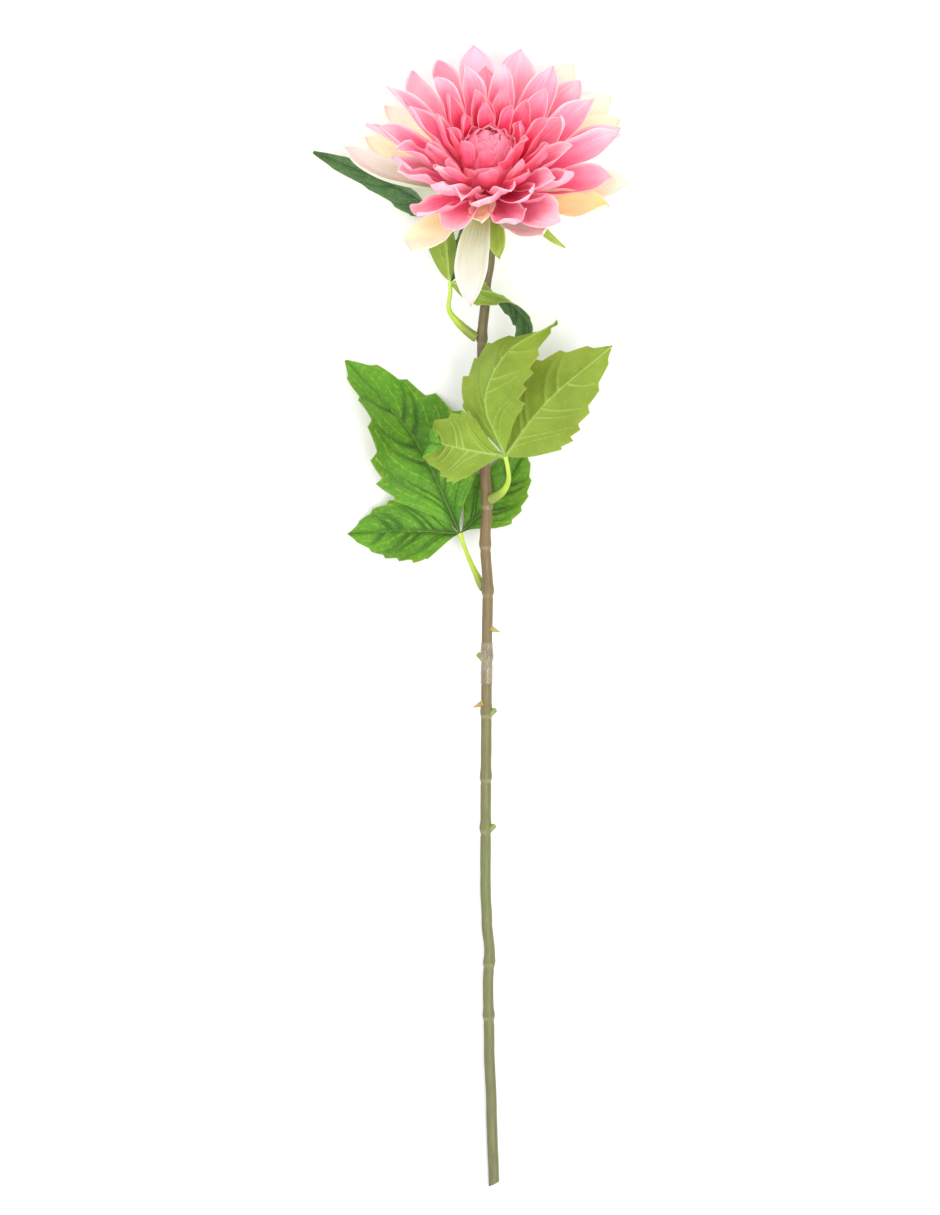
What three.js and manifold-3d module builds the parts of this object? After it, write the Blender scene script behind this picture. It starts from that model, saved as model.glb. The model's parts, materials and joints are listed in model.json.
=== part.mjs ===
// A cut dahlia lying on a surface: one flower head on a long bare stem with three compound leaves.
// Millimetres, +Z up, the surface at z = 0. The stem runs along Y, with its cut end towards -Y and the
// flower head towards +Y. The head leans back on its lowest petals, so that its face looks up and away
// from the stem. The origin is the centre of the whole flower's footprint, on the surface.
import * as THREE from "three";
import { mergeVertices } from "three/addons/utils/BufferGeometryUtils.js";
import Module from "manifold-3d";

const wasm = await Module();
wasm.setup();

const vec = (x, y, z) => new THREE.Vector3(x, y, z);
const { degToRad: rad, lerp, clamp } = THREE.MathUtils;

// ---- Driving sizes ----------------------------------------------------------------------------------

const GAP = 0.3; // clearance between pieces that touch

const HEAD_TILT = 45; // degrees between the head's axis and straight up
const HEAD_PLACE = { x: 12, y: 245 }; // where the head's centre stands over the surface

// The receptacle is the green knob that carries every floret. Heights run along the head's axis.
const RECEPTACLE = {
  radius: 13,
  middle: -3,
  halfHeight: 14,
  top: 6.5,
  waist: -15,
  bottom: -19,
  seatRadius: 3.4,
  sides: 24,
};

const PETAL_THICKNESS = 0.9;
const PETAL_SHAPE = { widestAt: 0.56, pointiness: 1.7 };
const BASE_FILL = 0.8; // how much of a ring's circumference at its seat the petals' bases take up
const SHINGLE = 15; // how far a petal rolls, so that one edge rides over its neighbour, if they just meet
const COLLAR = { width: 1.2, height: 1 };

// Each ring of petals: seat is its height on the receptacle, lift its angle above the head's plane at
// the seat and at the tip, cup the half angle of its cross-section's arc there. rise is how much
// further the nearest and farthest petals lift, and stretch how much longer the farthest ones are.
const GUARD = { count: 12, seat: -10.5, length: 68, width: 22, cup: [32, 14] };
const OUTER = {
  count: 12, phase: 12, seat: -7.3, length: 65, width: 21.5, lift: [13, 31], cup: [35, 16],
  rise: 8, stretch: 0.14,
};
const MIDDLE = {
  count: 12, phase: 27, seat: -4.2, length: 60, width: 19.5, lift: [26, 45], cup: [36, 20],
  rise: 7, stretch: 0.1,
};
const INNER = {
  count: 12, phase: 13, seat: -1, length: 51, width: 16.5, lift: [36, 61], cup: [38, 24],
  rise: 6, stretch: 0.06,
};
const UPPER = {
  count: 11, phase: 5, seat: 1.9, length: 42, width: 14, lift: [46, 75], cup: [40, 30],
  rise: 4, stretch: 0.03,
};
const CROWN = {
  count: 9, phase: 20, seat: 5, length: 33, width: 12, lift: [58, 89], cup: [42, 38],
  rise: 0, stretch: 0,
};
const SWAY = { azimuth: 1, lift: 1, length: 0.03 }; // how far petals of one ring differ

// The guard petals are the pale back row. They bend each in its own way.
const GUARD_PETALS = [
  { azimuth: 351, lift: [5, 17], length: 66 },
  { azimuth: 20, lift: [3, 12], length: 70 },
  { azimuth: 48, lift: [2, 10], length: 75 },
  { azimuth: 75, lift: [2, 8], length: 70 },
  { azimuth: 101, lift: [1, 8], length: 68 },
  { azimuth: 127, lift: [0, 7], length: 71 },
  { azimuth: 153, lift: [-1, 8], length: 65 },
  { azimuth: 180, lift: [-9, 50], length: 74 },
  { azimuth: 230, lift: [-6, 14], length: 60 },
  { azimuth: 263, lift: [-10, -21], length: 67, width: 19 },
  { azimuth: 298, lift: [11, 28], length: 54 },
  { azimuth: 325, lift: [7, 27], length: 66 },
];

// The unopened centre of the head: radius, as a share of the receptacle's under the crown, and height
// above the receptacle's top.
const BUD_PROFILE = [
  [0.8, 0], [1.1, 3], [1.35, 7.5], [1.43, 12], [1.36, 17.5], [1.05, 22.5], [0.56, 25.6],
];
const BUD = { tip: 26.4, sides: 16 };

const BRACT = { count: 12, seat: -14, width: 11, thickness: 1, lift: [-26, -14], cup: [30, 10] };
const BRACTS = [
  { azimuth: 275, length: 31 },
  { azimuth: 318, length: 46 },
  { azimuth: 42, length: 38 },
  { azimuth: 128, length: 38 },
  { azimuth: 205, length: 34 },
];

// The stem, as distances down from the neck, where it leaves its straight run for the flower head.
const STEM = { length: 521, radius: 2.85, neckRadius: 2.3, sides: 10 };
const NECK = { back: 43.4, drop: 29, straight: 10 }; // from the head's centre to the straight run
const STEM_WANDER = [
  [-60, 0], [0, 0.9], [20, -1.6], [47, -3.9], [95, -3.9], [125, -2.1], [138, -0.9], [160, -2], [188, -0.6],
  [216, -1.1], [256, -1.4], [319, -1.8], [353, -1.9], [374, -1.1], [390, 0.4], [409, -0.4],
  [444, 0.2], [480, 1.5], [521, 2.8], [640, 4],
];
const STEM_NODES = [47, 139, 162, 188, 225, 256, 292, 321, 396, 426]; // where leaves once sat
const NODE_SWELL = { rise: 0.5, groove: 0.35, spread: 3.2 };
const CUT_SLANT = 2.6; // how much longer the cut end is on one side

const STUB = { radius: 1.35, length: 3.6, lean: 50 };
const STUBS = [
  { distance: 226, side: -1 },
  { distance: 257, side: 1 },
  { distance: 322, side: 1 },
];
const THORN = { radius: 1.7, length: 5, lean: 112 };
const THORNS = [
  { distance: 209, side: 1 },
  { distance: 251, side: -1 },
];
const TAPE = { from: 217, to: 240, wall: 0.3 };

const PETIOLE = { radius: 1.25, footRadius: 2, footTilt: 40, sides: 8, steps: 14 };
const LEAF_THICKNESS = 0.8;
const LEAF_SHAPE = { baseShare: 0.025, widestAt: 0.38, pointiness: 1.15, fold: 14 };
const LEAF_TEETH = { depth: 0.12, perSide: 6, from: 0.16, to: 0.93, lead: 0.72 };

// A leaf is set on the stem at a distance from the neck. foot is the direction its stalk's foot stands
// off the stem, and points are measured from the stem's axis there, on the stem's surface or beyond. A
// leaflet starts at the end of the leaf's stalk and follows its points to its tip. Each side
// direction points to the edge on the left when the upper face is looked at with the tip upwards; they
// are spread evenly from base to tip, so a blade can twist.
const LEAVES = [
  {
    name: "upper_leaf",
    distance: 48,
    foot: [-1, 0.52, 0.13],
    stalk: [[-14, 10.5, 1.5], [-18.5, 17.3, 3], [-17.6, 27.5, 4.6], [-17.9, 32.5, 5]],
    leaflets: [
      {
        name: "long_leaflet",
        points: [[-25.1, 70, 3], [-46, 85, 0], [-94.6, 105.5, -9]],
        sides: [[0.8, 0.1, -0.6], [0.1, -0.3, -0.95], [-0.35, -0.8, -0.5]],
        width: 36,
      },
      {
        name: "hidden_leaflet",
        points: [[-8, 49, -10], [-1, 68, -15], [8, 84, -19]],
        sides: [[-0.9, 0.3, -0.45], [-0.9, 0.3, -0.1]],
        width: 24,
      },
      {
        name: "folded_leaflet",
        points: [[-1, 24.5, 14], [13, 19, 12.5], [23, 6, 4], [18.5, -8.5, -3]],
        sides: [[-0.1, -0.75, 0.6], [0.75, 0.45, 0.55]],
        width: 22,
      },
    ],
  },
  {
    name: "front_leaf",
    distance: 138,
    foot: [0.59, 0.32, 0.81],
    stalk: [[8.6, 5.4, 8], [11.8, 11.5, 12.5], [11.2, 19, 17.5], [9.9, 25, 20]],
    leaflets: [
      {
        name: "right_leaflet",
        points: [[32, 54, 27], [69.6, 86.5, 24]],
        sides: [[0.7, -0.6, 0.15], [0.75, -0.65, -0.1]],
        width: 47,
      },
      {
        name: "middle_leaflet",
        points: [[-1, 56, 38], [11, 82, 43], [39, 99, 36]],
        sides: [[0.8, 0.1, 0.6], [0.55, -0.3, 0.78]],
        width: 45,
      },
      {
        name: "left_leaflet",
        points: [[-12, 28.5, 33], [-27, 31.5, 31], [-32, 33, 16]],
        sides: [[0.1, 0.95, 0.1], [0.1, 0.98, 0.1]],
        width: 37,
      },
    ],
  },
  {
    name: "rear_leaf",
    distance: 188,
    foot: [-0.61, 0.53, -0.79],
    stalk: [[-7.4, 11, -6], [-12.2, 22.2, -9.5], [-15.6, 32, -11.5]],
    leaflets: [
      {
        name: "long_leaflet",
        points: [[-40, 83, -6], [-79.6, 129.6, -16.5]],
        sides: [[-0.8, 0.5, 0.12], [-0.8, 0.55, 0]],
        width: 57,
      },
      {
        name: "left_leaflet",
        points: [[-46, 33.5, -12], [-78.9, 32, -19.5]],
        sides: [[0, -0.93, 0.35], [0, -0.98, 0.1]],
        width: 37,
      },
      {
        name: "right_leaflet",
        points: [[6, 54, -14.5], [22, 80, -15]],
        sides: [[-0.75, 0.6, -0.35], [-0.75, 0.6, 0]],
        width: 33,
      },
    ],
  },
];

// ---- Shared helpers ---------------------------------------------------------------------------------

// A number from -1 to 1 that looks random but is the same on every run.
function sway(index, salt) {
  const wave = Math.sin(index * 12.9898 + salt * 78.233) * 43758.5453;
  return 2 * (wave - Math.floor(wave)) - 1;
}

function geometryOf(points, triangles) {
  const positions = points.flatMap((p) => [p.x, p.y, p.z]);
  return new THREE.BufferGeometry()
    .setAttribute("position", new THREE.Float32BufferAttribute(positions, 3))
    .setIndex(triangles);
}

function solidOf(geometry) {
  const bare = geometry.clone();
  bare.deleteAttribute("normal");
  bare.deleteAttribute("uv");
  const merged = mergeVertices(bare, 1e-4);
  return new wasm.Manifold(
    new wasm.Mesh({
      numProp: 3,
      vertProperties: merged.attributes.position.array,
      triVerts: new Uint32Array(merged.index.array),
    }),
  );
}

function geometryFrom(solid) {
  const mesh = solid.getMesh();
  return new THREE.BufferGeometry()
    .setAttribute("position", new THREE.BufferAttribute(mesh.vertProperties, 3))
    .setIndex(new THREE.BufferAttribute(mesh.triVerts, 1));
}

function joined(geometries) {
  return geometryFrom(geometries.map(solidOf).reduce((whole, piece) => whole.add(piece)));
}

// A thin closed blade: two skins that meet along its edges and at its tip, with a flat base.
// at(s, u) gives the middle surface's point and normal for s from base to tip and u across, -1 to 1.
function blade({ rows, columns, thickness, at }) {
  const points = [];
  const add = (p) => points.push(p) - 1;
  const skin = (sign) =>
    rows.map((s) =>
      Array.from({ length: columns + 1 }, (_, j) => {
        const u = (2 * j) / columns - 1;
        const { point, normal } = at(s, u);
        const half = 0.5 * thickness * (1 - u * u) * (1 - 0.7 * s);
        return { point: point.clone().addScaledVector(normal, sign * half), edge: j % columns === 0 };
      }),
    );
  const upper = skin(1).map((row) => row.map(({ point }) => add(point)));
  const lower = skin(-1).map((row, i) => row.map(({ point, edge }, j) => (edge ? upper[i][j] : add(point))));
  const tip = add(at(1, 0).point);
  const triangles = [];
  const face = (a, b, c) => {
    if (a !== b && b !== c && a !== c) triangles.push(a, b, c);
  };
  for (let i = 0; i < rows.length; i++) {
    for (let j = 0; j < columns; j++) {
      const [a, b] = [upper[i][j], upper[i][j + 1]];
      const [c, d] = [lower[i][j], lower[i][j + 1]];
      if (i === rows.length - 1) {
        face(a, tip, b);
        face(c, d, tip);
      } else {
        const [a2, b2] = [upper[i + 1][j], upper[i + 1][j + 1]];
        const [c2, d2] = [lower[i + 1][j], lower[i + 1][j + 1]];
        face(a, a2, b);
        face(b, a2, b2);
        face(c, d, c2);
        face(d, d2, c2);
      }
      if (i === 0) {
        face(a, b, c);
        face(b, d, c);
      }
    }
  }
  return geometryOf(points, triangles);
}

// ---- Flower head, in the head's own frame: its axis is +Z and its plane is z = 0 -----------------------

function receptacleRadius(height) {
  const share = (height - RECEPTACLE.middle) / RECEPTACLE.halfHeight;
  return RECEPTACLE.radius * Math.sqrt(1 - share * share);
}

function receptacle() {
  const steps = 9;
  const side = Array.from({ length: steps + 1 }, (_, i) => {
    const height = lerp(RECEPTACLE.waist, RECEPTACLE.top, i / steps);
    return new THREE.Vector2(receptacleRadius(height), height);
  });
  return new THREE.LatheGeometry(
    [
      new THREE.Vector2(0, RECEPTACLE.bottom),
      new THREE.Vector2(RECEPTACLE.seatRadius, RECEPTACLE.bottom),
      ...side,
      new THREE.Vector2(0, RECEPTACLE.top),
    ],
    RECEPTACLE.sides,
  ).rotateX(Math.PI / 2);
}

function bud() {
  const base = RECEPTACLE.top + GAP;
  const unit = receptacleRadius(CROWN.seat);
  const profile = [[0, 0], ...BUD_PROFILE, [0, BUD.tip]];
  return new THREE.LatheGeometry(
    profile.map(([share, height]) => new THREE.Vector2(share * unit, base + height)),
    BUD.sides,
  ).rotateX(Math.PI / 2);
}

// How wide a petal is along its length, from its base's width to its widest and on to its tip.
function petalWidth(s, baseWidth, width) {
  const { widestAt, pointiness } = PETAL_SHAPE;
  if (s < widestAt) return lerp(baseWidth, width, Math.sin((Math.PI / 2) * (s / widestAt)));
  return width * Math.cos((Math.PI / 2) * ((s - widestAt) / (1 - widestAt)) ** pointiness);
}

// A petal that stands out along +X and turns from its first lift to its last as it goes.
function petal({ count, seat, length, width, lift, cup, thickness = PETAL_THICKNESS }) {
  const start = receptacleRadius(seat) + GAP + thickness / 2;
  const share = (2 * Math.PI) / count;
  const baseWidth = BASE_FILL * share * start;
  const crowding = width / (share * (start + PETAL_SHAPE.widestAt * length));
  const [first, last] = lift.map(rad);
  const bend = last - first;
  const turn = rad(SHINGLE) * crowding ** 2;
  const at = (s, u) => {
    const angle = first + bend * s;
    const along = vec(
      start + (length * (Math.sin(angle) - Math.sin(first))) / bend,
      0,
      seat + (length * (Math.cos(first) - Math.cos(angle))) / bend,
    );
    const up = vec(-Math.sin(angle), 0, Math.cos(angle));
    const across = vec(0, 1, 0);
    const arc = rad(lerp(cup[0], cup[1], s));
    const bow = (0.5 * petalWidth(s, baseWidth, width)) / arc;
    const sideways = bow * Math.sin(arc * u);
    const rise = bow * (1 - Math.cos(arc * u));
    const lean = turn * Math.sin((Math.PI / 2) * Math.min(1, 2.5 * s));
    const point = along
      .addScaledVector(across, sideways * Math.cos(lean) - rise * Math.sin(lean))
      .addScaledVector(up, sideways * Math.sin(lean) + rise * Math.cos(lean));
    const normal = up
      .clone()
      .multiplyScalar(Math.cos(arc * u + lean))
      .addScaledVector(across, -Math.sin(arc * u + lean));
    return { point, normal };
  };
  return blade({ rows: [0, 0.17, 0.36, 0.56, 0.75, 0.9], columns: 4, thickness, at });
}

// The petals of a ring, each turned to its azimuth, with small differences between them.
function ringPetals(ring, salt) {
  return Array.from({ length: ring.count }, (_, i) => {
    const azimuth = ring.phase + (360 * i) / ring.count + SWAY.azimuth * sway(i, salt);
    const far = Math.sin(rad(azimuth));
    const extra = ring.rise * far ** 2 + SWAY.lift * sway(i, salt + 2);
    const length = ring.length * (1 + ring.stretch * far + SWAY.length * sway(i, salt + 1));
    return { azimuth, geometry: petal({ ...ring, length, lift: ring.lift.map((l) => l + extra) }) };
  });
}

// A whorl: a ring's petals grown together on a collar that sits round the receptacle.
function whorl(ring, salt) {
  const lowest = ring.seat - COLLAR.height / 2;
  const highest = ring.seat + COLLAR.height / 2;
  const widest = Math.max(
    receptacleRadius(lowest),
    receptacleRadius(highest),
    receptacleRadius(clamp(RECEPTACLE.middle, lowest, highest)),
  );
  const bore = widest + GAP;
  const corners = [[bore, lowest], [bore + COLLAR.width, lowest], [bore + COLLAR.width, highest], [bore, highest]];
  const collar = new THREE.LatheGeometry(
    [...corners, corners[0]].map(([radius, height]) => new THREE.Vector2(radius, height)),
    36,
  ).rotateX(Math.PI / 2);
  const petals = ringPetals(ring, salt).map(({ azimuth, geometry }) => geometry.rotateZ(rad(azimuth)));
  return joined([collar, ...petals]);
}

// ---- Stem -------------------------------------------------------------------------------------------

function wanderAt(distance) {
  const next = STEM_WANDER.findIndex(([d]) => d > distance);
  const [[d0, x0], [d1, x1]] = [STEM_WANDER[next - 1], STEM_WANDER[next]];
  return lerp(x0, x1, THREE.MathUtils.smoothstep(distance, d0, d1));
}

function stemRadius(distance) {
  const slim = lerp(STEM.neckRadius, STEM.radius, clamp((distance + 40) / 140, 0, 1));
  return STEM_NODES.reduce((radius, node) => {
    const off = (distance - node) / NODE_SWELL.spread;
    const swell = NODE_SWELL.rise * Math.exp(-off * off);
    const groove = NODE_SWELL.groove * Math.exp(-((off * 2.5 - 2.5) ** 2));
    return radius + swell - groove;
  }, slim);
}

// A point on the stem's axis, down its straight run from the neck to the cut end.
function stemAxis(distance, neck) {
  const rest = STEM.radius;
  return vec(
    HEAD_PLACE.x + wanderAt(distance),
    neck.y - distance,
    lerp(neck.z, rest, distance / STEM.length),
  );
}

// Rings of points around a path, closed with flat ends.
function loft(stations, sides) {
  const points = [];
  const rings = stations.map(({ centre, tangent, radius, slant = 0 }) => {
    const right = vec(1, 0, 0).addScaledVector(tangent, -tangent.x).normalize();
    const up = tangent.clone().cross(right).normalize();
    return Array.from({ length: sides }, (_, k) => {
      const angle = (2 * Math.PI * k) / sides;
      const point = centre
        .clone()
        .addScaledVector(right, radius * Math.cos(angle))
        .addScaledVector(up, radius * Math.sin(angle))
        .addScaledVector(tangent, -slant * Math.cos(angle));
      return points.push(point) - 1;
    });
  });
  const triangles = [];
  for (let i = 0; i + 1 < rings.length; i++) {
    for (let k = 0; k < sides; k++) {
      const n = (k + 1) % sides;
      triangles.push(rings[i][k], rings[i][n], rings[i + 1][k]);
      triangles.push(rings[i][n], rings[i + 1][n], rings[i + 1][k]);
    }
  }
  const [first, last] = [rings[0], rings.at(-1)];
  for (let k = 1; k + 1 < sides; k++) {
    triangles.push(first[0], first[k + 1], first[k]);
    triangles.push(last[0], last[k], last[k + 1]);
  }
  return geometryOf(points, triangles);
}

// The stations of the straight run, from the cut end up to the neck, closer together at the nodes.
function runStations(neck, from, to, extraRadius = 0) {
  const plain = Array.from({ length: 60 }, (_, i) => 12 * i);
  const atNodes = STEM_NODES.flatMap((node) => [node - 3.5, node - 1, node + 1.5, node + 3.5, node + 6]);
  const inside = [...plain, ...atNodes].filter((d) => d > from + 1.5 && d < to - 1.5);
  const sorted = [from, ...inside, to].sort((a, b) => b - a);
  const spaced = sorted.filter((d, i) => i === 0 || sorted[i - 1] - d > 0.8 || d === from);
  return spaced.map((distance) => ({
    centre: stemAxis(distance, neck),
    tangent: stemAxis(distance - 1, neck).sub(stemAxis(distance + 1, neck)).normalize(),
    radius: stemRadius(distance) + extraRadius,
  }));
}

// A short peg that grows out of the stem's side. lean is its angle from the way to the flower.
function peg({ distance, side }, { radius, length, lean }, tipRadius, neck) {
  const shape = new THREE.CylinderGeometry(tipRadius, radius, length, 7).translate(0, length / 2, 0);
  const depth = stemRadius(distance) * 0.6;
  const place = stemAxis(distance, neck).add(vec(side * depth, 0, depth * 0.4));
  return shape.rotateZ(-side * rad(lean)).translate(place.x, place.y, place.z);
}

function stemPegs(neck, grow = 0) {
  const bigger = (size) => ({ ...size, radius: size.radius + grow, length: size.length + grow });
  return [
    ...STUBS.map((place) => peg(place, bigger(STUB), STUB.radius * 0.85 + grow, neck)),
    ...THORNS.map((place) => peg(place, bigger(THORN), 0.25 + grow, neck)),
  ];
}

function stem(neck, foot, axis) {
  const run = runStations(neck, 0, STEM.length);
  run[0].slant = CUT_SLANT / 2;
  run[0].tangent = vec(0, 1, 0);
  const bend = new THREE.CatmullRomCurve3([
    stemAxis(25, neck),
    stemAxis(0, neck),
    foot.clone().addScaledVector(axis, -NECK.straight),
    foot,
  ]);
  const steps = 14;
  const curved = Array.from({ length: steps + 1 }, (_, i) => lerp(0.34, 1, i / steps))
    .slice(1)
    .map((t) => ({ centre: bend.getPoint(t), tangent: bend.getTangent(t), radius: STEM.neckRadius }));
  curved.at(-1).tangent = axis;
  curved.forEach((station, i) => {
    station.radius = lerp(stemRadius(0), STEM.neckRadius, (i + 1) / steps);
  });
  return joined([loft([...run, ...curved], STEM.sides), ...stemPegs(neck)]);
}

function tapeBand(neck) {
  const outer = loft(runStations(neck, TAPE.from, TAPE.to, GAP + TAPE.wall), STEM.sides);
  const inner = loft(runStations(neck, TAPE.from - 3, TAPE.to + 3, GAP), STEM.sides);
  const pegs = stemPegs(neck, GAP).map(solidOf);
  const cut = pegs.reduce((band, p) => band.subtract(p), solidOf(outer).subtract(solidOf(inner)));
  return geometryFrom(cut);
}

// ---- Leaves -----------------------------------------------------------------------------------------

// Where a leaf stalk's foot stands, clear of the stem though it leans.
function stalkFoot(leaf) {
  const out = vec(...leaf.foot);
  const reach = stemRadius(leaf.distance) + GAP + PETIOLE.footRadius * Math.sin(rad(PETIOLE.footTilt));
  return out.multiplyScalar(reach / Math.hypot(out.x, out.z));
}

// A leaf stalk, from its foot on the stem to the leaflets, thickest at its foot.
function petiole(points) {
  const path = new THREE.CatmullRomCurve3(points);
  const { steps, sides, radius, footRadius } = PETIOLE;
  const stations = Array.from({ length: steps + 1 }, (_, i) => {
    const t = i / steps;
    return {
      centre: path.getPoint(t),
      tangent: path.getTangent(t),
      radius: lerp(footRadius, radius, clamp(3 * t, 0, 1)),
    };
  });
  return loft(stations, sides);
}

// How wide a leaflet is along its length, as a share of its widest.
function leafletOutline(s) {
  const { baseShare, widestAt, pointiness } = LEAF_SHAPE;
  if (s < widestAt) return lerp(baseShare, 1, Math.sin((Math.PI / 2) * (s / widestAt)) ** 0.8);
  return Math.cos((Math.PI / 2) * ((s - widestAt) / (1 - widestAt)) ** pointiness);
}

// The direction at a share of the way along a list of directions.
function directionAt(directions, share) {
  const place = share * (directions.length - 1);
  const before = Math.min(Math.floor(place), directions.length - 2);
  return directions[before].clone().lerp(directions[before + 1], place - before);
}

function leaflet({ start, points, sides, width }) {
  const away = points[0].clone().sub(start).normalize();
  const base = start.clone().addScaledVector(away, PETIOLE.radius + GAP);
  const path = new THREE.CatmullRomCurve3([base, ...points]);
  const { depth, perSide, from, to, lead } = LEAF_TEETH;
  const step = (to - from) / perSide;
  const notches = Array.from({ length: perSide + 1 }, (_, i) => from + i * step);
  const tips = notches.slice(0, -1).map((notch) => notch + lead * step);
  const rows = [0, from / 2, ...notches, ...tips].sort((a, b) => a - b);
  const fold = rad(LEAF_SHAPE.fold);
  const at = (s, u) => {
    const tangent = path.getTangent(s);
    const left = directionAt(sides, s);
    left.addScaledVector(tangent, -left.dot(tangent)).normalize();
    const up = tangent.clone().cross(left);
    const half = 0.5 * width * leafletOutline(s) * (tips.includes(s) ? 1 + depth : 1);
    const point = path
      .getPoint(s)
      .addScaledVector(left, half * u * Math.cos(fold))
      .addScaledVector(up, half * Math.abs(u) * Math.sin(fold));
    return { point, normal: up };
  };
  return blade({ rows, columns: 2, thickness: LEAF_THICKNESS, at });
}

// ---- Finishes ---------------------------------------------------------------------------------------

const finish = (color, roughness) => new THREE.MeshStandardMaterial({ color, roughness, metalness: 0 });
const FINISHES = {
  pinkPetal: finish("#fb9db2", 0.7),
  deepPetal: finish("#f9607f", 0.7),
  creamPetal: finish("#faefd3", 0.7),
  knob: finish("#8aa05a", 0.6),
  bract: finish("#86a94c", 0.6),
  leafTop: finish("#4f8a2c", 0.55),
  leafBack: finish("#96b045", 0.55),
  petiole: finish("#a9c44a", 0.5),
  stem: finish("#948f62", 0.5),
  tape: finish("#b9b29a", 0.35),
};

function piece(name, geometry, material) {
  geometry.computeVertexNormals();
  const mesh = new THREE.Mesh(geometry, material);
  mesh.name = name;
  return mesh;
}

// ---- Assembly ---------------------------------------------------------------------------------------

const head = new THREE.Group();
head.rotation.x = -rad(HEAD_TILT);
const headAxis = vec(0, Math.sin(rad(HEAD_TILT)), Math.cos(rad(HEAD_TILT)));

head.add(piece("receptacle", receptacle(), FINISHES.knob));
head.add(piece("centre_bud", bud(), FINISHES.deepPetal));
head.add(piece("crown_whorl", whorl(CROWN, 1), FINISHES.deepPetal));
head.add(piece("upper_whorl", whorl(UPPER, 5), FINISHES.deepPetal));
head.add(piece("inner_whorl", whorl(INNER, 9), FINISHES.pinkPetal));

function addRing(name, petals, material) {
  petals.forEach(({ azimuth, geometry }, i) => {
    const mesh = piece(`${name}_${i + 1}`, geometry, material);
    mesh.rotation.z = rad(azimuth);
    head.add(mesh);
  });
}
addRing("middle_petal", ringPetals(MIDDLE, 13), FINISHES.pinkPetal);
addRing("outer_petal", ringPetals(OUTER, 17), FINISHES.pinkPetal);
addRing(
  "guard_petal",
  GUARD_PETALS.map((own) => ({ azimuth: own.azimuth, geometry: petal({ ...GUARD, ...own }) })),
  FINISHES.creamPetal,
);
addRing(
  "bract",
  BRACTS.map((own) => ({ azimuth: own.azimuth, geometry: petal({ ...BRACT, ...own }) })),
  FINISHES.bract,
);

// The head stands as high as its lowest petal needs.
head.updateMatrixWorld(true);
const headHeight = -new THREE.Box3().setFromObject(head, true).min.z;
const headCentre = vec(HEAD_PLACE.x, HEAD_PLACE.y, headHeight);
head.position.copy(headCentre);

const neck = vec(HEAD_PLACE.x, headCentre.y - NECK.back, headCentre.z - NECK.drop);
const foot = headCentre.clone().addScaledVector(headAxis, RECEPTACLE.bottom - GAP);

const flower = new THREE.Group();
flower.add(head);
flower.add(piece("stem", stem(neck, foot, headAxis), FINISHES.stem));
flower.add(piece("tape_band", tapeBand(neck), FINISHES.tape));

for (const leaf of LEAVES) {
  const origin = stemAxis(leaf.distance, neck);
  const placed = (point) => vec(...point).add(origin);
  const stalk = [stalkFoot(leaf).add(origin), ...leaf.stalk.map(placed)];
  const material = leaf.name === "front_leaf" ? FINISHES.leafBack : FINISHES.leafTop;
  flower.add(piece(`${leaf.name}_petiole`, petiole(stalk), FINISHES.petiole));
  for (const own of leaf.leaflets) {
    const shape = leaflet({
      start: stalk.at(-1),
      points: own.points.map(placed),
      sides: own.sides.map((direction) => vec(...direction)),
      width: own.width,
    });
    flower.add(piece(`${leaf.name}_${own.name}`, shape, material));
  }
}

// Put the origin at the middle of the footprint.
flower.updateMatrixWorld(true);
const footprint = new THREE.Box3().setFromObject(flower, true);
const middle = footprint.getCenter(vec(0, 0, 0));
flower.position.set(-middle.x, -middle.y, -footprint.min.z);

export default flower;
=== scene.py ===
"""A cut dahlia lying on a pale surface, seen from above.

One pink flower head with pale guard petals, a long stem and three compound leaves. Every piece is
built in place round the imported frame, in metres. Sizes below are in millimetres, and those of the first
section, the stem and the leaves follow the frame's.
"""

import json
import math

import bpy
import numpy as np
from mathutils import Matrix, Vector

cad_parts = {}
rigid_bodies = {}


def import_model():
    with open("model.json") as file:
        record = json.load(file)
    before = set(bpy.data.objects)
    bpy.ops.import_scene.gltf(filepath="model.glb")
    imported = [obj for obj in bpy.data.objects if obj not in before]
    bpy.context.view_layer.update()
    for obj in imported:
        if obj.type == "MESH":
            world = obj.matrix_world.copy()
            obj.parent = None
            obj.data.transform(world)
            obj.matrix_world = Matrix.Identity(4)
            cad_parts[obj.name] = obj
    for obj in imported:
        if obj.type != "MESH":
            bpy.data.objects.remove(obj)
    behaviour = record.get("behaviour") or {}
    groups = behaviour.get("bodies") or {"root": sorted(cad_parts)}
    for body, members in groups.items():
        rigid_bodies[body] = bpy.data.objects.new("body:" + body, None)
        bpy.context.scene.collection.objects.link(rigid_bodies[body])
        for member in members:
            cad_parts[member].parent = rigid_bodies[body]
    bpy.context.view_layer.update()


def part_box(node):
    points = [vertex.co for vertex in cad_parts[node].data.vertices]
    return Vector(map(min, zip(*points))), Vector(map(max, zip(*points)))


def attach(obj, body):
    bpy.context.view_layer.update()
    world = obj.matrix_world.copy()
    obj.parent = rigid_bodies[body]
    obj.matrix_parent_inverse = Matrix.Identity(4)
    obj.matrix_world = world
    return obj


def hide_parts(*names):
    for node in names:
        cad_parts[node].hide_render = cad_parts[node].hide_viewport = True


MM = 0.001
BODY = "root"

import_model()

# ---- Sizes of the frame, in millimetres ----

GAP = 0.3
HEAD_TILT = math.radians(45)
RECEPTACLE = dict(
    radius=13.0, middle=-3.0, half_height=14.0, top=6.5, waist=-15.0, bottom=-19.0, seat_radius=3.4,
)
WIDEST_AT = 0.56
BASE_FILL = 0.8
SHINGLE = 15.0
SWAY = dict(azimuth=1.0, lift=1.0, length=0.03)


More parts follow.
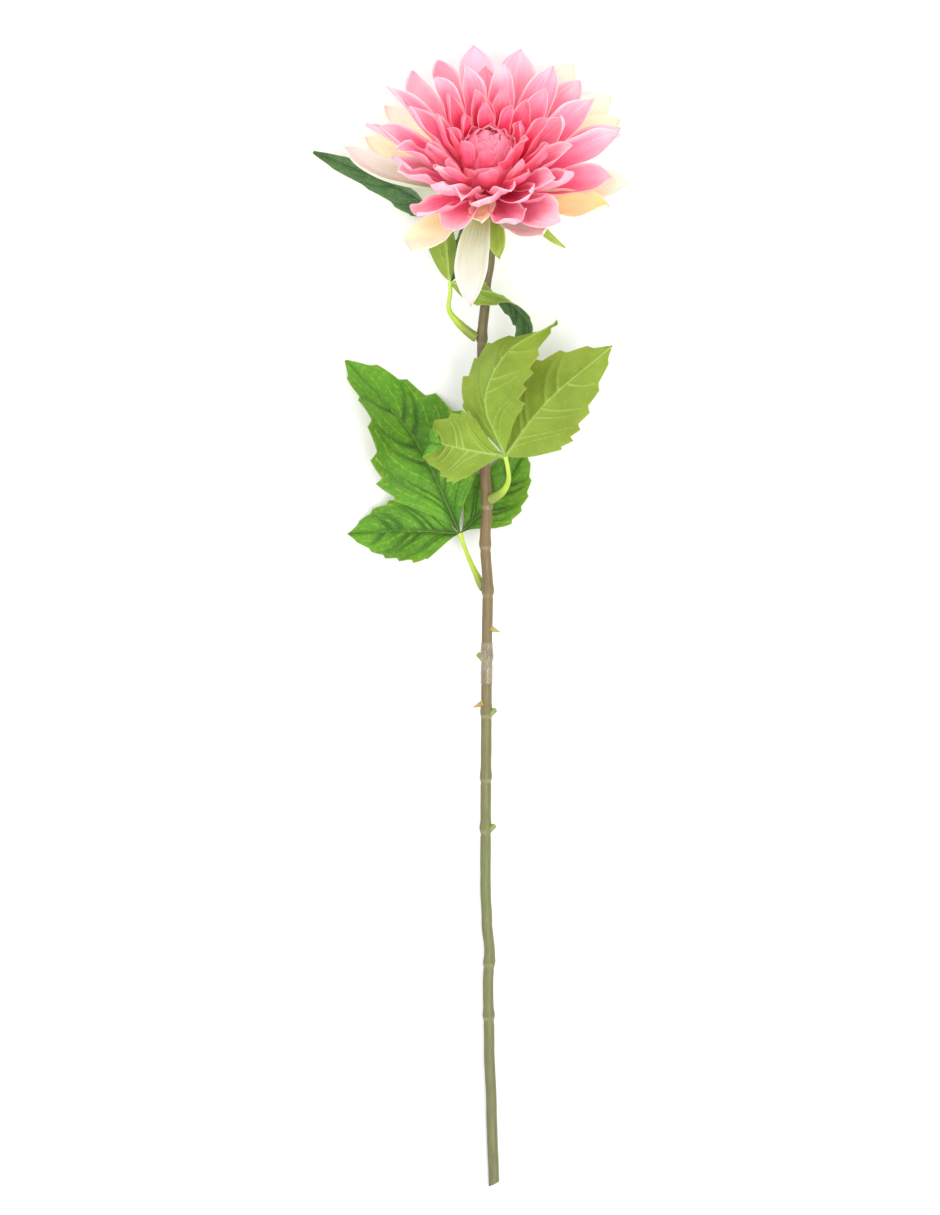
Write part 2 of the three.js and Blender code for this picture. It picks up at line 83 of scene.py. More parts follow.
def ring_sizes(*sizes):
    names = ("count", "phase", "seat", "length", "width", "lift", "cup", "stretch", "salt", "rise")
    return dict(zip(names, sizes))


# The three whorls are given their rise where they are grown.
OUTER = ring_sizes(12, 12, -7.3, 65, 21.5, (13, 31), (35, 16), 0.14, 17, 8)
MIDDLE = ring_sizes(12, 27, -4.2, 60, 19.5, (26, 45), (36, 20), 0.1, 13, 7)
INNER = ring_sizes(12, 13, -1, 51, 16.5, (36, 61), (38, 24), 0.06, 9)
UPPER = ring_sizes(11, 5, 1.9, 42, 14, (46, 75), (40, 30), 0.03, 5)
CROWN = ring_sizes(9, 20, 5, 33, 12, (58, 89), (42, 38), 0, 1)

GUARD = dict(count=12, seat=-10.5, width=22, cup=(32, 14))
GUARD_PETALS = [
    dict(azimuth=azimuth, lift=lift, length=length)
    for azimuth, lift, length in (
        (351, (5, 17), 66), (20, (3, 12), 70), (48, (2, 10), 75), (75, (2, 8), 70),
        (101, (1, 8), 68), (127, (0, 7), 71), (153, (-1, 8), 65), (180, (-9, 50), 74),
        (230, (-6, 14), 60), (263, (-10, -21), 67), (298, (11, 28), 54), (325, (7, 27), 66),
    )
]
WHITE_GUARDS = (8, 10, 11)
BRACT = dict(count=12, seat=-14, width=11, lift=(-26, -14), cup=(30, 10))
BRACTS = [(275, 31), (318, 46), (42, 38), (128, 38), (205, 34)]


def receptacle_radius(height):
    share = (height - RECEPTACLE["middle"]) / RECEPTACLE["half_height"]
    return RECEPTACLE["radius"] * math.sqrt(max(0.0, 1 - share * share))


def sway(index, salt):
    """A number from -1 to 1 that looks random, the same one that the frame's petals use."""
    wave = math.sin(index * 12.9898 + salt * 78.233) * 43758.5453
    return 2 * (wave - math.floor(wave)) - 1


# ---- The flower head's own axes ----

HEAD_RIGHT = np.array([1.0, 0.0, 0.0])
HEAD_UP = np.array([0.0, math.cos(HEAD_TILT), -math.sin(HEAD_TILT)])
HEAD_AXIS = np.array([0.0, math.sin(HEAD_TILT), math.cos(HEAD_TILT)])
HEAD_TURN = np.stack([HEAD_RIGHT, HEAD_UP, HEAD_AXIS], axis=1)


def receptacle_profile():
    """Radius and height pairs up the knob that the petals sit on."""
    pairs = [(0.0, RECEPTACLE["bottom"]), (RECEPTACLE["seat_radius"], RECEPTACLE["bottom"])]
    for step in range(25):
        height = RECEPTACLE["waist"] + (RECEPTACLE["top"] - RECEPTACLE["waist"]) * step / 24
        pairs.append((receptacle_radius(height), height))
    pairs.append((0.0, RECEPTACLE["top"]))
    return pairs


def circle(sides):
    """Angles of evenly spaced points round a circle."""
    return np.linspace(0, math.tau, sides, endpoint=False)


def lathe(pairs, sides):
    """Rings of points round the head's axis, one for each pair of a radius and a height."""
    around = circle(sides)
    rings = [
        np.stack([radius * np.cos(around), radius * np.sin(around), np.full(sides, float(height))], 1)
        for radius, height in pairs
    ]
    return np.concatenate(rings)


def find_head_centre():
    """The head's centre, from where the frame's receptacle lies."""
    lowest, highest = (np.array(corner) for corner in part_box("receptacle"))
    local = lathe(receptacle_profile(), 24) @ HEAD_TURN.T * MM
    return ((lowest - local.min(axis=0)) + (highest - local.max(axis=0))) / 2


HEAD_CENTRE = find_head_centre()


def from_head(points):
    """Head coordinates in millimetres to the frame's metres."""
    return points @ HEAD_TURN.T * MM + HEAD_CENTRE


# ---- Meshes ----


class Shape:
    """Vertices, faces and named per-vertex values that grow into one mesh."""

    def __init__(self):
        self.points, self.faces, self.values, self.count = [], [], {}, 0

    def add(self, points, faces, **values):
        points = np.asarray(points, dtype=float).reshape(-1, 3)
        self.points.append(points)
        self.faces.extend([tuple(int(i) + self.count for i in face) for face in faces])
        for name, value in values.items():
            column = np.broadcast_to(np.asarray(value, dtype=float).reshape(-1), (len(points),))
            self.values.setdefault(name, []).append(column)
        self.count += len(points)

    def mesh(self, name):
        mesh = bpy.data.meshes.new(name)
        mesh.from_pydata(np.concatenate(self.points).tolist(), [], self.faces)
        for label, columns in self.values.items():
            attribute = mesh.attributes.new(label, "FLOAT", "POINT")
            attribute.data.foreach_set("value", np.concatenate(columns).astype(np.float32))
        mesh.shade_smooth()
        mesh.set_sharp_from_angle(angle=math.radians(50))
        return mesh

    def piece(self, name, material, slot, replaces):
        mesh = self.mesh(name)
        mesh.materials.append(material)
        place(name, mesh, replaces)


def place(name, mesh, replaces):
    piece = bpy.data.objects.new(name, mesh)
    bpy.context.scene.collection.objects.link(piece)
    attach(piece, BODY)
    if replaces:
        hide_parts(*replaces)


def grid_faces(rows, columns, start=0, flip=False):
    faces = []
    for i in range(rows - 1):
        for j in range(columns - 1):
            a = start + i * columns + j
            quad = (a, a + columns, a + columns + 1, a + 1)
            faces.append(quad[::-1] if flip else quad)
    return faces


def tube_faces(rings, sides, closed=False):
    """Faces between stacked rings of points, and from the last ring back to the first where closed."""
    faces = []
    for i in range(rings if closed else rings - 1):
        for j in range(sides):
            here, there, turned = i * sides, (i + 1) % rings * sides, (j + 1) % sides
            faces.append((here + j, here + turned, there + turned, there + j))
    return faces


def ball_faces(rings, sides):
    """Faces between stacked rings of points, with a flat cap at each end, facing outwards."""
    last = (rings - 1) * sides
    caps = [tuple(range(sides - 1, -1, -1)), tuple(last + j for j in range(sides))]
    return caps + tube_faces(rings, sides)


def mesh_points(mesh):
    points = np.empty(3 * len(mesh.vertices))
    mesh.vertices.foreach_get("co", points)
    return points.reshape(-1, 3)


def smoothstep(low, high, value):
    t = np.clip((value - low) / (high - low), 0, 1)
    return t * t * (3 - 2 * t)


def off_floor(points, clear=1.0 * MM, least=0.4 * MM):
    """Eases anything that would sink under the surface back to just above it."""
    height = points[..., 2]
    eased = least + (clear - least) * np.exp(np.minimum(height - clear, 0) / (clear - least))
    return np.concatenate([points[..., :2], np.where(height > clear, height, eased)[..., None]], axis=-1)


def grid_normals(points):
    """Unit normals of a grid of points, from its rows and columns."""
    along = np.gradient(points, axis=0)
    across = np.gradient(points, axis=1)
    normals = np.cross(along, across)
    return normals / np.maximum(np.linalg.norm(normals, axis=2, keepdims=True), 1e-12)


def add_blade(shape, points, thickness, **values):
    """Closes a grid of points into a thin solid: an upper skin, an under skin and a rim."""
    rows, columns, _ = points.shape
    normals = grid_normals(points)
    half = 0.5 * np.asarray(thickness, dtype=float)
    half = np.broadcast_to(half, (rows, columns))[..., None]
    upper = (points + normals * half).reshape(-1, 3)
    under = (points - normals * half).reshape(-1, 3)
    size = rows * columns
    faces = grid_faces(rows, columns, 0, flip=True) + grid_faces(rows, columns, size)
    edge = list(range(columns))
    edge += [i * columns + columns - 1 for i in range(1, rows)]
    edge += [(rows - 1) * columns + j for j in range(columns - 2, -1, -1)]
    edge += [i * columns for i in range(rows - 2, 0, -1)]
    for a, b in zip(edge, edge[1:] + edge[:1]):
        faces.append((a, b, b + size, a + size))
    doubled = {}
    for name, value in values.items():
        column = np.broadcast_to(np.asarray(value, dtype=float), (rows, columns)).reshape(-1)
        doubled[name] = np.concatenate([column, column])
    doubled["under"] = np.concatenate([np.zeros(size), np.ones(size)])
    shape.add(np.concatenate([upper, under]), faces, **doubled)


# ---- Petals ----

FOOT_CLEARANCE = 0.45
PETAL_WALL = 0.5
GROOVES = 5
CREASE = 0.5
KINDS = 6
CURL_OVER_ABOVE = 0.55


def petal_start(height):
    """The distance from the head's axis at which a petal starts."""
    return receptacle_radius(height) + GAP + FOOT_CLEARANCE


def petal_wall(S, U):
    """Thickness in metres, less towards the sides and the tip."""
    return PETAL_WALL * MM * (1 - 0.5 * U**4) * (1 - 0.3 * S)


def petal_width(s, base, width, pointed):
    grow = base + (width - base) * np.sin(np.pi / 2 * np.clip(s / WIDEST_AT, 0, 1))
    shrink = width * np.cos(np.pi / 2 * np.clip((s - WIDEST_AT) / (1 - WIDEST_AT), 0, 1) ** pointed)
    return np.where(s < WIDEST_AT, grow, shrink)


def petal_grid(
    seat, length, width, lift, cup, count=12, start=None, azimuth=0.0, narrow=0.86, fold=1.5, curl=0.0,
    curl_from=0.72, twist=0.0, bend=0.0, wave=0.0, wave_count=2.5, phase=0.0, groove=0.22, pointed=1.55,
    rim=0.0, rows=40, columns=19, roll=1.0, crumple=0.45,
):
    """A petal's middle surface in head coordinates, from its seat to its tip."""
    s = np.linspace(0, 1, rows)
    s = 1 - (1 - s) ** 1.12
    u = np.linspace(-1, 1, columns)
    u = np.sign(u) * np.abs(u) ** 0.85
    if start is None:
        start = petal_start(seat)
    share = math.tau / count
    base = BASE_FILL * share * start
    crowding = width / (share * (start + WIDEST_AT * length))
    turn = math.radians(SHINGLE) * crowding**2 * roll

    fine = np.linspace(0, 1, 200)
    angle = np.radians(lift[0] + (lift[1] - lift[0]) * fine)
    angle = angle + math.radians(curl) * smoothstep(curl_from, 1.05, fine)
    heading = math.radians(bend) * fine**1.5
    step = length / (len(fine) - 1)
    forward = np.cumsum(np.cos(angle) * np.cos(heading)) * step
    sideways = np.cumsum(np.cos(angle) * np.sin(heading)) * step
    rising = np.cumsum(np.sin(angle)) * step
    line = np.stack([start + forward, sideways, seat + rising], axis=1)
    line[0] = (start, 0, seat)
    centre = np.stack([np.interp(s, fine, line[:, k]) for k in range(3)], axis=1)
    tilt = np.interp(s, fine, angle)
    head = np.interp(s, fine, heading)
    tangent = np.stack([np.cos(tilt) * np.cos(head), np.cos(tilt) * np.sin(head), np.sin(tilt)], axis=1)
    up = np.stack([-np.sin(tilt) * np.cos(head), -np.sin(tilt) * np.sin(head), np.cos(tilt)], axis=1)
    across = np.cross(up, tangent)

    lean = turn * np.sin(np.pi / 2 * np.clip(2.5 * s, 0, 1)) + math.radians(twist) * s**2
    half = 0.5 * petal_width(np.minimum(s, 0.996), base, width, pointed)
    arc = np.radians(cup[0] + (cup[1] - cup[0]) * s) * fold
    S, U = np.meshgrid(s, u, indexing="ij")
    H, A = half[:, None], arc[:, None]
    X = H * np.sin(A * U) / A * (narrow + (1 - narrow) * (1 - smoothstep(0.1, 0.5, S)))
    Y = H * (1 - np.cos(A * U)) / A
    Y += rim * smoothstep(0.7, 1.0, np.abs(U)) * smoothstep(0.15, 0.5, S)
    swell = smoothstep(0.02, 0.3, S) * (1 - 0.75 * smoothstep(0.75, 1.0, S))
    Y += groove * np.cos(math.pi * GROOVES * U) * swell * (1 - U**4)
    Y -= CREASE * np.exp(-((U / 0.09) ** 2)) * swell
    dents = np.sin(9 * S + 2.6 * U + phase) * np.sin(5.2 * U - 6 * S + 1.9 * phase)
    dents += 0.6 * np.sin(17 * S + 4 * U + 2.7 * phase)
    Y += crumple * dents * smoothstep(0.2, 0.6, S)
    ripple = np.sin(math.tau * wave_count * S + phase + 0.9 * np.sign(U))
    Y += wave * np.abs(U) ** 2.5 * ripple * smoothstep(0.3, 0.75, S)
    sway_across = np.sin(math.tau * (wave_count + 0.7) * S + 1.7 * phase)
    X += 0.35 * wave * U * sway_across * smoothstep(0.4, 0.8, S)
    cosine, sine = np.cos(lean)[:, None, None], np.sin(lean)[:, None, None]
    X, Y = X[..., None], Y[..., None]
    points = centre[:, None, :] + across[:, None, :] * (X * cosine - Y * sine)
    points = points + up[:, None, :] * (X * sine + Y * cosine)
    a = math.radians(azimuth)
    around = np.array([[math.cos(a), -math.sin(a), 0], [math.sin(a), math.cos(a), 0], [0, 0, 1]])
    return points @ around.T, S, U


def pick(index, salt, low, high):
    return low + (high - low) * (0.5 + 0.5 * sway(index, salt))


# Each row is a step added to the petal's salt, then the lowest and highest value.
LIVELY = dict(
    curl=(21, -42, 30), twist=(22, -30, 30), bend=(23, -13, 13), wave=(24, 0.3, 1.5), rim=(29, 0.0, 1.3),
)
ASSORTED = dict(
    wave_count=(25, 1.2, 2.8), fold=(26, 1.5, 2.3), narrow=(27, 1.0, 1.16), pointed=(28, 1.7, 2.5),
)


def varied(form, index, salt, strength=1.0):
    """Adds a petal's own curl, twist, bend and waves, and curls some tips right over."""
    own = {name: pick(index, salt + row[0], *row[1:]) * strength for name, row in LIVELY.items()}
    own.update({name: pick(index, salt + row[0], *row[1:]) for name, row in ASSORTED.items()})
    first, last = form["lift"]
    nod = pick(index, salt + 35, -5, 6) * strength
    own["lift"] = (first + 0.4 * nod, last + nod)
    own["azimuth"] = form.get("azimuth", 0.0) + pick(index, salt + 36, -4.5, 4.5) * strength
    own["length"] = form["length"] * (1 + pick(index, salt + 37, -0.07, 0.05) * strength)
    if sway(index, salt + 33) > CURL_OVER_ABOVE:
        own.update(curl=pick(index, salt + 34, 70, 125), curl_from=0.8)
    return {**form, **own}


def add_petal(shape, tint, blush, **form):
    points, S, U = petal_grid(**form)
    turn = form.get("azimuth", 0.0) / 360
    points = off_floor(from_head(points))
    add_blade(shape, points, petal_wall(S, U), along=S, across=U, tint=tint, blush=blush, turn=turn)


def petal_kinds(name, ring):
    """A collection of loose petals that all start at the origin and stand out along +X."""
    kinds = bpy.data.collections.new(name)
    start = ring.get("start", petal_start(min(ring["seat"], RECEPTACLE["top"])))
    for i in range(KINDS):
        form = {key: ring[key] for key in ("count", "length", "width", "lift", "cup")}
        form.update(seat=0.0, start=start, phase=3.1 * i + ring["salt"])
        form = varied(form, i, ring["salt"], ring.get("liveliness", 1.1))
        points, S, U = petal_grid(**{**form, **ring.get("own", {}), "azimuth": 0.0})
        shape = Shape()
        add_blade(shape, (points - np.array([start, 0, 0])) * MM, petal_wall(S, U), along=S, across=U)
        kinds.objects.link(bpy.data.objects.new(f"{name}_{i + 1}", shape.mesh(f"{name}_{i + 1}")))
    return kinds, start


def ring_forms(ring):
    """The forms of a ring's petals, at the frame's azimuths, lifts and lengths."""
    forms = []
    for i in range(ring["count"]):
        azimuth = ring["phase"] + 360 * i / ring["count"] + SWAY["azimuth"] * sway(i, ring["salt"])
        far = math.sin(math.radians(azimuth))
        extra = ring["rise"] * far**2 + SWAY["lift"] * sway(i, ring["salt"] + 2)
        length = ring["length"] * (1 + ring["stretch"] * far + SWAY["length"] * sway(i, ring["salt"] + 1))
        form = {key: ring[key] for key in ("count", "seat", "width", "cup")}
        lift = tuple(degrees + extra for degrees in ring["lift"])
        form.update(azimuth=azimuth, length=length, lift=lift, phase=3.1 * i + ring["salt"])
        forms.append(form)
    return forms


# ---- Materials ----


def linear(code):
    """A colour from its six-figure screen code."""
    channels = [int(code[i : i + 2], 16) / 255 for i in (0, 2, 4)]
    return [c / 12.92 if c <= 0.04045 else ((c + 0.055) / 1.055) ** 2.4 for c in channels] + [1.0]


class Sums:
    """Short names for the sums that materials and node trees share."""

    def times(self, a, b):
        return self.math("MULTIPLY", a, b)

    def plus(self, a, b):
        return self.math("ADD", a, b)

    def swing(self, value, amount):
        """A value from 0 to 1 made to swing round 0."""
        return self.times(self.math("SUBTRACT", value, 0.5), amount)


class Paint(Sums):
    """Builds a material's nodes with short calls. A colour is a socket or a six-figure code."""

    def __init__(self, name):
        self.material = bpy.data.materials.new(name)
        self.material.use_nodes = True
        self.nodes, self.links = self.material.node_tree.nodes, self.material.node_tree.links
        self.shader = self.nodes["Principled BSDF"]

    def node(self, kind, **settings):
        node = self.nodes.new(kind)
        for key, value in settings.items():
            setattr(node, key, value)
        return node

    def set(self, socket, value):
        if isinstance(value, bpy.types.NodeSocket):
            self.links.new(value, socket)
        else:
            socket.default_value = linear(value) if isinstance(value, str) else value

    def value(self, name):
        return self.node("ShaderNodeAttribute", attribute_name=name).outputs["Fac"]

    def math(self, operation, a, b=0.0):
        node = self.node("ShaderNodeMath", operation=operation)
        self.set(node.inputs[0], a)
        self.set(node.inputs[1], b)
        return node.outputs[0]

    def step(self, value, low, high):
        node = self.node("ShaderNodeMapRange", interpolation_type="SMOOTHSTEP")
        self.set(node.inputs["Value"], value)
        node.inputs["From Min"].default_value, node.inputs["From Max"].default_value = low, high
        return node.outputs["Result"]

    def mix(self, share, a, b):
        node = self.node("ShaderNodeMix", data_type="RGBA", clamp_factor=True)
        self.set(node.inputs[0], share)
        self.set(node.inputs[6], a)
        self.set(node.inputs[7], b)
        return node.outputs[2]

    def ramp(self, value, *stops):
        node = self.node("ShaderNodeValToRGB")
        node.color_ramp.interpolation = "EASE"
        elements = node.color_ramp.elements
        while len(elements) < len(stops):
            elements.new(0.5)
        for element, (position, code) in zip(elements, stops):
            element.position, element.color = position, linear(code)
        self.set(node.inputs[0], value)
        return node.outputs[0]

    def vector(self, x, y, z):
        node = self.node("ShaderNodeCombineXYZ")
        for socket, value in zip(node.inputs, (x, y, z)):
            self.set(socket, value)
        return node.outputs[0]

    def noise(self, vector, scale, detail=3.0, roughness=0.55):
        node = self.node("ShaderNodeTexNoise")
        self.set(node.inputs["Vector"], vector)
        node.inputs["Scale"].default_value = scale
        node.inputs["Detail"].default_value = detail
        node.inputs["Roughness"].default_value = roughness
        return node.outputs["Fac"]

    def place(self):
        return self.node("ShaderNodeTexCoord").outputs["Object"]

    def bump(self, height, strength, distance):
        node = self.node("ShaderNodeBump")
        node.inputs["Strength"].default_value = strength
        node.inputs["Distance"].default_value = distance
        self.set(node.inputs["Height"], height)
        self.links.new(node.outputs[0], self.shader.inputs["Normal"])

    def finish(self, colour, roughness, **sockets):
        self.set(self.shader.inputs["Base Color"], colour)
        self.set(self.shader.inputs["Roughness"], roughness)
        for name, value in sockets.items():
            self.shader.inputs[name.replace("_", " ")].default_value = value
        return self.material


def petal_fabric(name, heart, middle, outside, tip, edge, blush, under, vein):
    """Printed petal fabric: colour runs from the seat to the tip, with fine lengthwise fibres and a faint
    painted glow for light shining through.
    """
    p = Paint(name)
    along, across, tint, turn = (p.value(label) for label in ("along", "across", "tint", "turn"))

    def fibres(lengthwise, crosswise, by_petal):
        return p.vector(p.times(along, lengthwise), p.times(across, crosswise), p.times(turn, by_petal))

    streaks = p.noise(fibres(1.1, 5.0, 53.0), 2.2, 5.0, 0.72)
    cloudy = p.noise(p.place(), 60.0, 2.0)
    drift = p.plus(p.swing(streaks, 0.75), p.swing(cloudy, 0.22))
    reach = p.plus(p.plus(along, drift), p.swing(tint, 0.5))
    colour = p.ramp(reach, (0.06, heart), (0.38, middle), (0.74, outside), (1.0, tip))
    fine = p.noise(fibres(2.0, 9.0, 31.0), 2.0, 4.0)
    lines = p.times(p.step(fine, 0.48, 0.7), p.times(p.step(along, 1.05, 0.4), 0.5))
    colour = p.mix(lines, colour, vein)
    side = p.math("ABSOLUTE", p.plus(across, p.swing(streaks, 0.16)))
    pale = p.times(p.step(side, 0.78, 1.0), p.step(along, 0.12, 0.6))
    colour = p.mix(p.times(pale, 0.8), colour, edge)
    blushed = p.times(p.times(p.value("blush"), p.step(along, 0.35, 1.0)), 0.8)
    colour = p.mix(blushed, colour, blush)
    colour = p.mix(p.times(p.value("under"), 0.55), colour, under)
    weave = p.noise(fibres(90.0, 30.0, 1.0), 6.0, 2.0)
    p.bump(p.plus(p.times(fine, 0.8), p.times(weave, 0.2)), 0.5, 0.0007)
    # Painted light: the petal glows faintly in its own colour, standing in for light shining through the thin
    # petals.
    p.set(p.shader.inputs["Emission Color"], colour)
    return p.finish(
        colour, 0.62, Emission_Strength=0.045, Subsurface_Weight=0.3, Subsurface_Scale=0.006,
        Sheen_Weight=0.05, Sheen_Roughness=0.45, Specular_IOR_Level=0.3,
    )


PINK = petal_fabric(
    "pink petal fabric", heart="f13c70", middle="fb6d97", outside="fe9db7", tip="ffc8d4", edge="ffe3e8",
    blush="fbc6dd", under="ffb0c2", vein="f75f8b",
)
DEEP_PINK = petal_fabric(
    "deep pink petal fabric", heart="ee2154", middle="fb527c", outside="fe7f9c", tip="ffafc0", edge="ffcbd5",
    blush="ffbed0", under="fd7693", vein="ee3562",
)
CREAM = petal_fabric(
    "cream petal fabric", heart="f1f4bc", middle="fff8c0", outside="fff7d2", tip="ffecdc", edge="fff6e8",
    blush="ffd07c", under="fff8da", vein="fbeaa4",
)
# The olive heart and grey-green middle are partly the petal's own greenish tone and partly painted shade in
# its folded base.
WHITE = petal_fabric(
    "white petal fabric", heart="a3ae74", middle="c8d1bd", outside="d6dcd2", tip="e8cfd2", edge="e2e5de",
    blush="f6cdd3", under="d6dbbc", vein="c3ccb0",
)


# ---- Node trees that grow repeated and path-following pieces ----


class Tree(Sums):
    """A geometry node tree with named inputs."""

    kinds = dict(
        value="NodeSocketFloat", whole="NodeSocketInt", vector="NodeSocketVector",
        collection="NodeSocketCollection", object="NodeSocketObject", material="NodeSocketMaterial",
    )

    def __init__(self, name, **inputs):
        self.group = bpy.data.node_groups.new(name, "GeometryNodeTree")
        self.group.interface.new_socket("Geometry", in_out="OUTPUT", socket_type="NodeSocketGeometry")
        for label, kind in inputs.items():
            self.group.interface.new_socket(label, in_out="INPUT", socket_type=self.kinds[kind])
        self.source = self.group.nodes.new("NodeGroupInput")

    def given(self, label):
        return self.source.outputs[label]

    def node(self, kind, inputs=(), output=0, **settings):
        node = self.group.nodes.new(kind)
        for key, value in settings.items():
            setattr(node, key, value)
        for key, value in dict(inputs).items():
            if isinstance(value, bpy.types.NodeSocket):
                self.group.links.new(value, node.inputs[key])
            else:
                node.inputs[key].default_value = value
        return node.outputs[output]

    def math(self, operation, a, b=0.0):
        return self.node("ShaderNodeMath", {0: a, 1: b}, operation=operation)

    def vector(self, x, y, z):
        return self.node("ShaderNodeCombineXYZ", {0: x, 1: y, 2: z})

    def chance(self, low, high, salt):
        seed = self.plus(self.given("Seed"), salt)
        return self.node("FunctionNodeRandomValue", {2: low, 3: high, "Seed": seed}, output=1)

    def spread(self, value, salt, label):
        """Adds a chance either way, as far as the named input says."""
        return self.plus(value, self.times(self.chance(-1.0, 1.0, salt), self.given(label)))

    def store(self, geometry, name, value):
        inputs = {"Geometry": geometry, "Name": name, "Value": value}
        return self.node("GeometryNodeStoreNamedAttribute", inputs, domain="POINT", data_type="FLOAT")

    def end(self, geometry):
        geometry = self.node("GeometryNodeRealizeInstances", {0: geometry})
        skin = {"Geometry": geometry, "Material": self.given("Material")}
        geometry = self.node("GeometryNodeSetMaterial", skin)
        self.group.links.new(geometry, self.group.nodes.new("NodeGroupOutput").inputs[0])
        return self

    def grow(self, name, **values):
        """Runs the tree once and keeps the result as a plain mesh."""
        host = bpy.data.objects.new(name, bpy.data.meshes.new(name))
        bpy.context.scene.collection.objects.link(host)
        modifier = host.modifiers.new(name, "NODES")
        modifier.node_group = self.group
        for socket in self.group.interface.items_tree:
            if socket.in_out == "INPUT":
                modifier[socket.identifier] = values[socket.name]
        host.update_tag()
        seen = host.evaluated_get(bpy.context.evaluated_depsgraph_get())
        mesh = bpy.data.meshes.new_from_object(seen)
        mesh.name = name
        host.modifiers.clear()
        bpy.data.objects.remove(host)
        return mesh


def whorl_tree():
    """Petals stood round the flower's axis, each a little different."""
    t = Tree(
        "petal whorl", Petals="collection", Count="whole", Kinds="whole", Radius="value", Seat="value",
        Phase="value", TurnSpread="value", LiftSpread="value", FarRise="value", Lean="value", Stretch="value",
        LengthSpread="value", TintLow="value", TintHigh="value", BlushHigh="value", Seed="whole",
        HeadTilt="value", HeadCentre="vector", Material="material",
    )
    g = t.given
    step = t.math("DIVIDE", math.tau, g("Count"))
    azimuth = t.plus(t.times(t.node("GeometryNodeInputIndex"), step), g("Phase"))
    azimuth = t.spread(azimuth, 0, "TurnSpread")
    x, y = (t.times(g("Radius"), t.math(wave, azimuth)) for wave in ("COSINE", "SINE"))
    points = t.node("GeometryNodePoints", {"Count": g("Count"), "Position": t.vector(x, y, g("Seat"))})
    points = t.store(points, "turn", t.math("DIVIDE", azimuth, math.tau))
    points = t.store(points, "tint", t.chance(g("TintLow"), g("TintHigh"), 3))
    points = t.store(points, "blush", t.chance(0.0, g("BlushHigh"), 4))
    turn = t.node("GeometryNodeInputNamedAttribute", {0: "turn"}, data_type="FLOAT")
    azimuth = t.times(turn, math.tau)
    far = t.math("SINE", azimuth)
    rise = t.plus(t.times(t.times(far, far), g("FarRise")), t.times(far, g("Lean")))
    rise = t.spread(rise, 1, "LiftSpread")
    size = t.spread(t.plus(1.0, t.times(far, g("Stretch"))), 2, "LengthSpread")
    kind = t.node(
        "FunctionNodeRandomValue", {4: 0, 5: t.math("SUBTRACT", g("Kinds"), 1), "Seed": t.plus(g("Seed"), 5)},
        output=2, data_type="INT",
    )
    loose = t.node("GeometryNodeCollectionInfo", {0: g("Petals"), 1: True, 2: True})
    petals = t.node(
        "GeometryNodeInstanceOnPoints",
        {
            "Points": points, "Instance": loose, "Pick Instance": True, "Instance Index": kind,
            "Rotation": t.vector(0.0, t.times(rise, -1.0), azimuth), "Scale": t.vector(size, 1.0, 1.0),
        },
    )
    petals = t.node(
        "GeometryNodeTransform",
        {"Geometry": petals, "Translation": g("HeadCentre"), "Rotation": t.vector(g("HeadTilt"), 0.0, 0.0)},
    )
    return t.end(petals)


def tube_tree():
    """A round tube along a path, as thick as the path's radius, with a slightly uneven skin."""
    t = Tree("tube along a path", Path="object", Sides="whole", Ripple="value", Material="material")
    g = t.given
    path = t.node("GeometryNodeObjectInfo", {"Object": g("Path")}, output=4)
    path = t.store(path, "along", t.node("GeometryNodeSplineParameter"))
    ring = t.node("GeometryNodeCurvePrimitiveCircle", {"Resolution": g("Sides"), "Radius": 1.0})
    width = t.node("GeometryNodeInputRadius")
    tube = t.node(
        "GeometryNodeCurveToMesh", {"Curve": path, "Profile Curve": ring, "Scale": width, "Fill Caps": True}
    )
    spot = t.node("GeometryNodeInputPosition")
    drawn_out = t.node("ShaderNodeVectorMath", {0: spot, 1: (1.0, 0.16, 1.0)}, operation="MULTIPLY")
    rough = t.node("ShaderNodeTexNoise", {"Vector": drawn_out, "Scale": 420.0, "Detail": 2.0})
    push = t.swing(rough, g("Ripple"))
    offset = t.node(
        "ShaderNodeVectorMath", {0: t.node("GeometryNodeInputNormal"), "Scale": push}, operation="SCALE"
    )
    tube = t.node("GeometryNodeSetPosition", {"Geometry": tube, "Offset": offset})
    tube = t.node("GeometryNodeSetShadeSmooth", {"Geometry": tube})
    return t.end(tube)


WHORL = whorl_tree()
TUBE = tube_tree()


def grow_whorl(name, ring, material, look):
    """A whorl's mesh. Its look is the lowest tint, the highest tint and the most blush."""
    kinds, start = petal_kinds(f"{name}_kinds", ring)
    degrees = dict(
        Phase=ring["phase"], TurnSpread=ring.get("turn", 4.5), LiftSpread=ring.get("loose", 5.0),
        FarRise=ring["rise"], Lean=ring.get("lean", 0.0),
    )
    mesh = WHORL.grow(
        name, Petals=kinds, Count=ring.get("petals", ring["count"]), Kinds=KINDS, Radius=start * MM,
        Seat=ring["seat"] * MM, Stretch=float(ring["stretch"]), LengthSpread=0.07, TintLow=look[0],
        TintHigh=look[1], BlushHigh=look[2], Seed=ring["salt"], HeadTilt=-HEAD_TILT,
        HeadCentre=tuple(HEAD_CENTRE), Material=material,
        **{label: math.radians(value) for label, value in degrees.items()},
    )
    for loose in list(kinds.objects):
        bpy.data.objects.remove(loose)
    bpy.data.collections.remove(kinds)
    return mesh


def grow_tube(name, points, radii, sides, ripple, material):
    curve = bpy.data.curves.new(f"{name}_path", "CURVE")
    curve.dimensions = "3D"
    spline = curve.splines.new("POLY")
    spline.points.add(len(points) - 1)
    for point, place_at, radius in zip(spline.points, points, radii):
        point.co = (*[float(v) for v in place_at], 1.0)
        point.radius = float(radius)
    path = bpy.data.objects.new(f"{name}_path", curve)
    mesh = TUBE.grow(name, Path=path, Sides=sides, Ripple=ripple, Material=material)
    bpy.data.objects.remove(path)
    mesh.set_sharp_from_angle(angle=math.radians(60))
    return mesh


# ---- Build the head ----

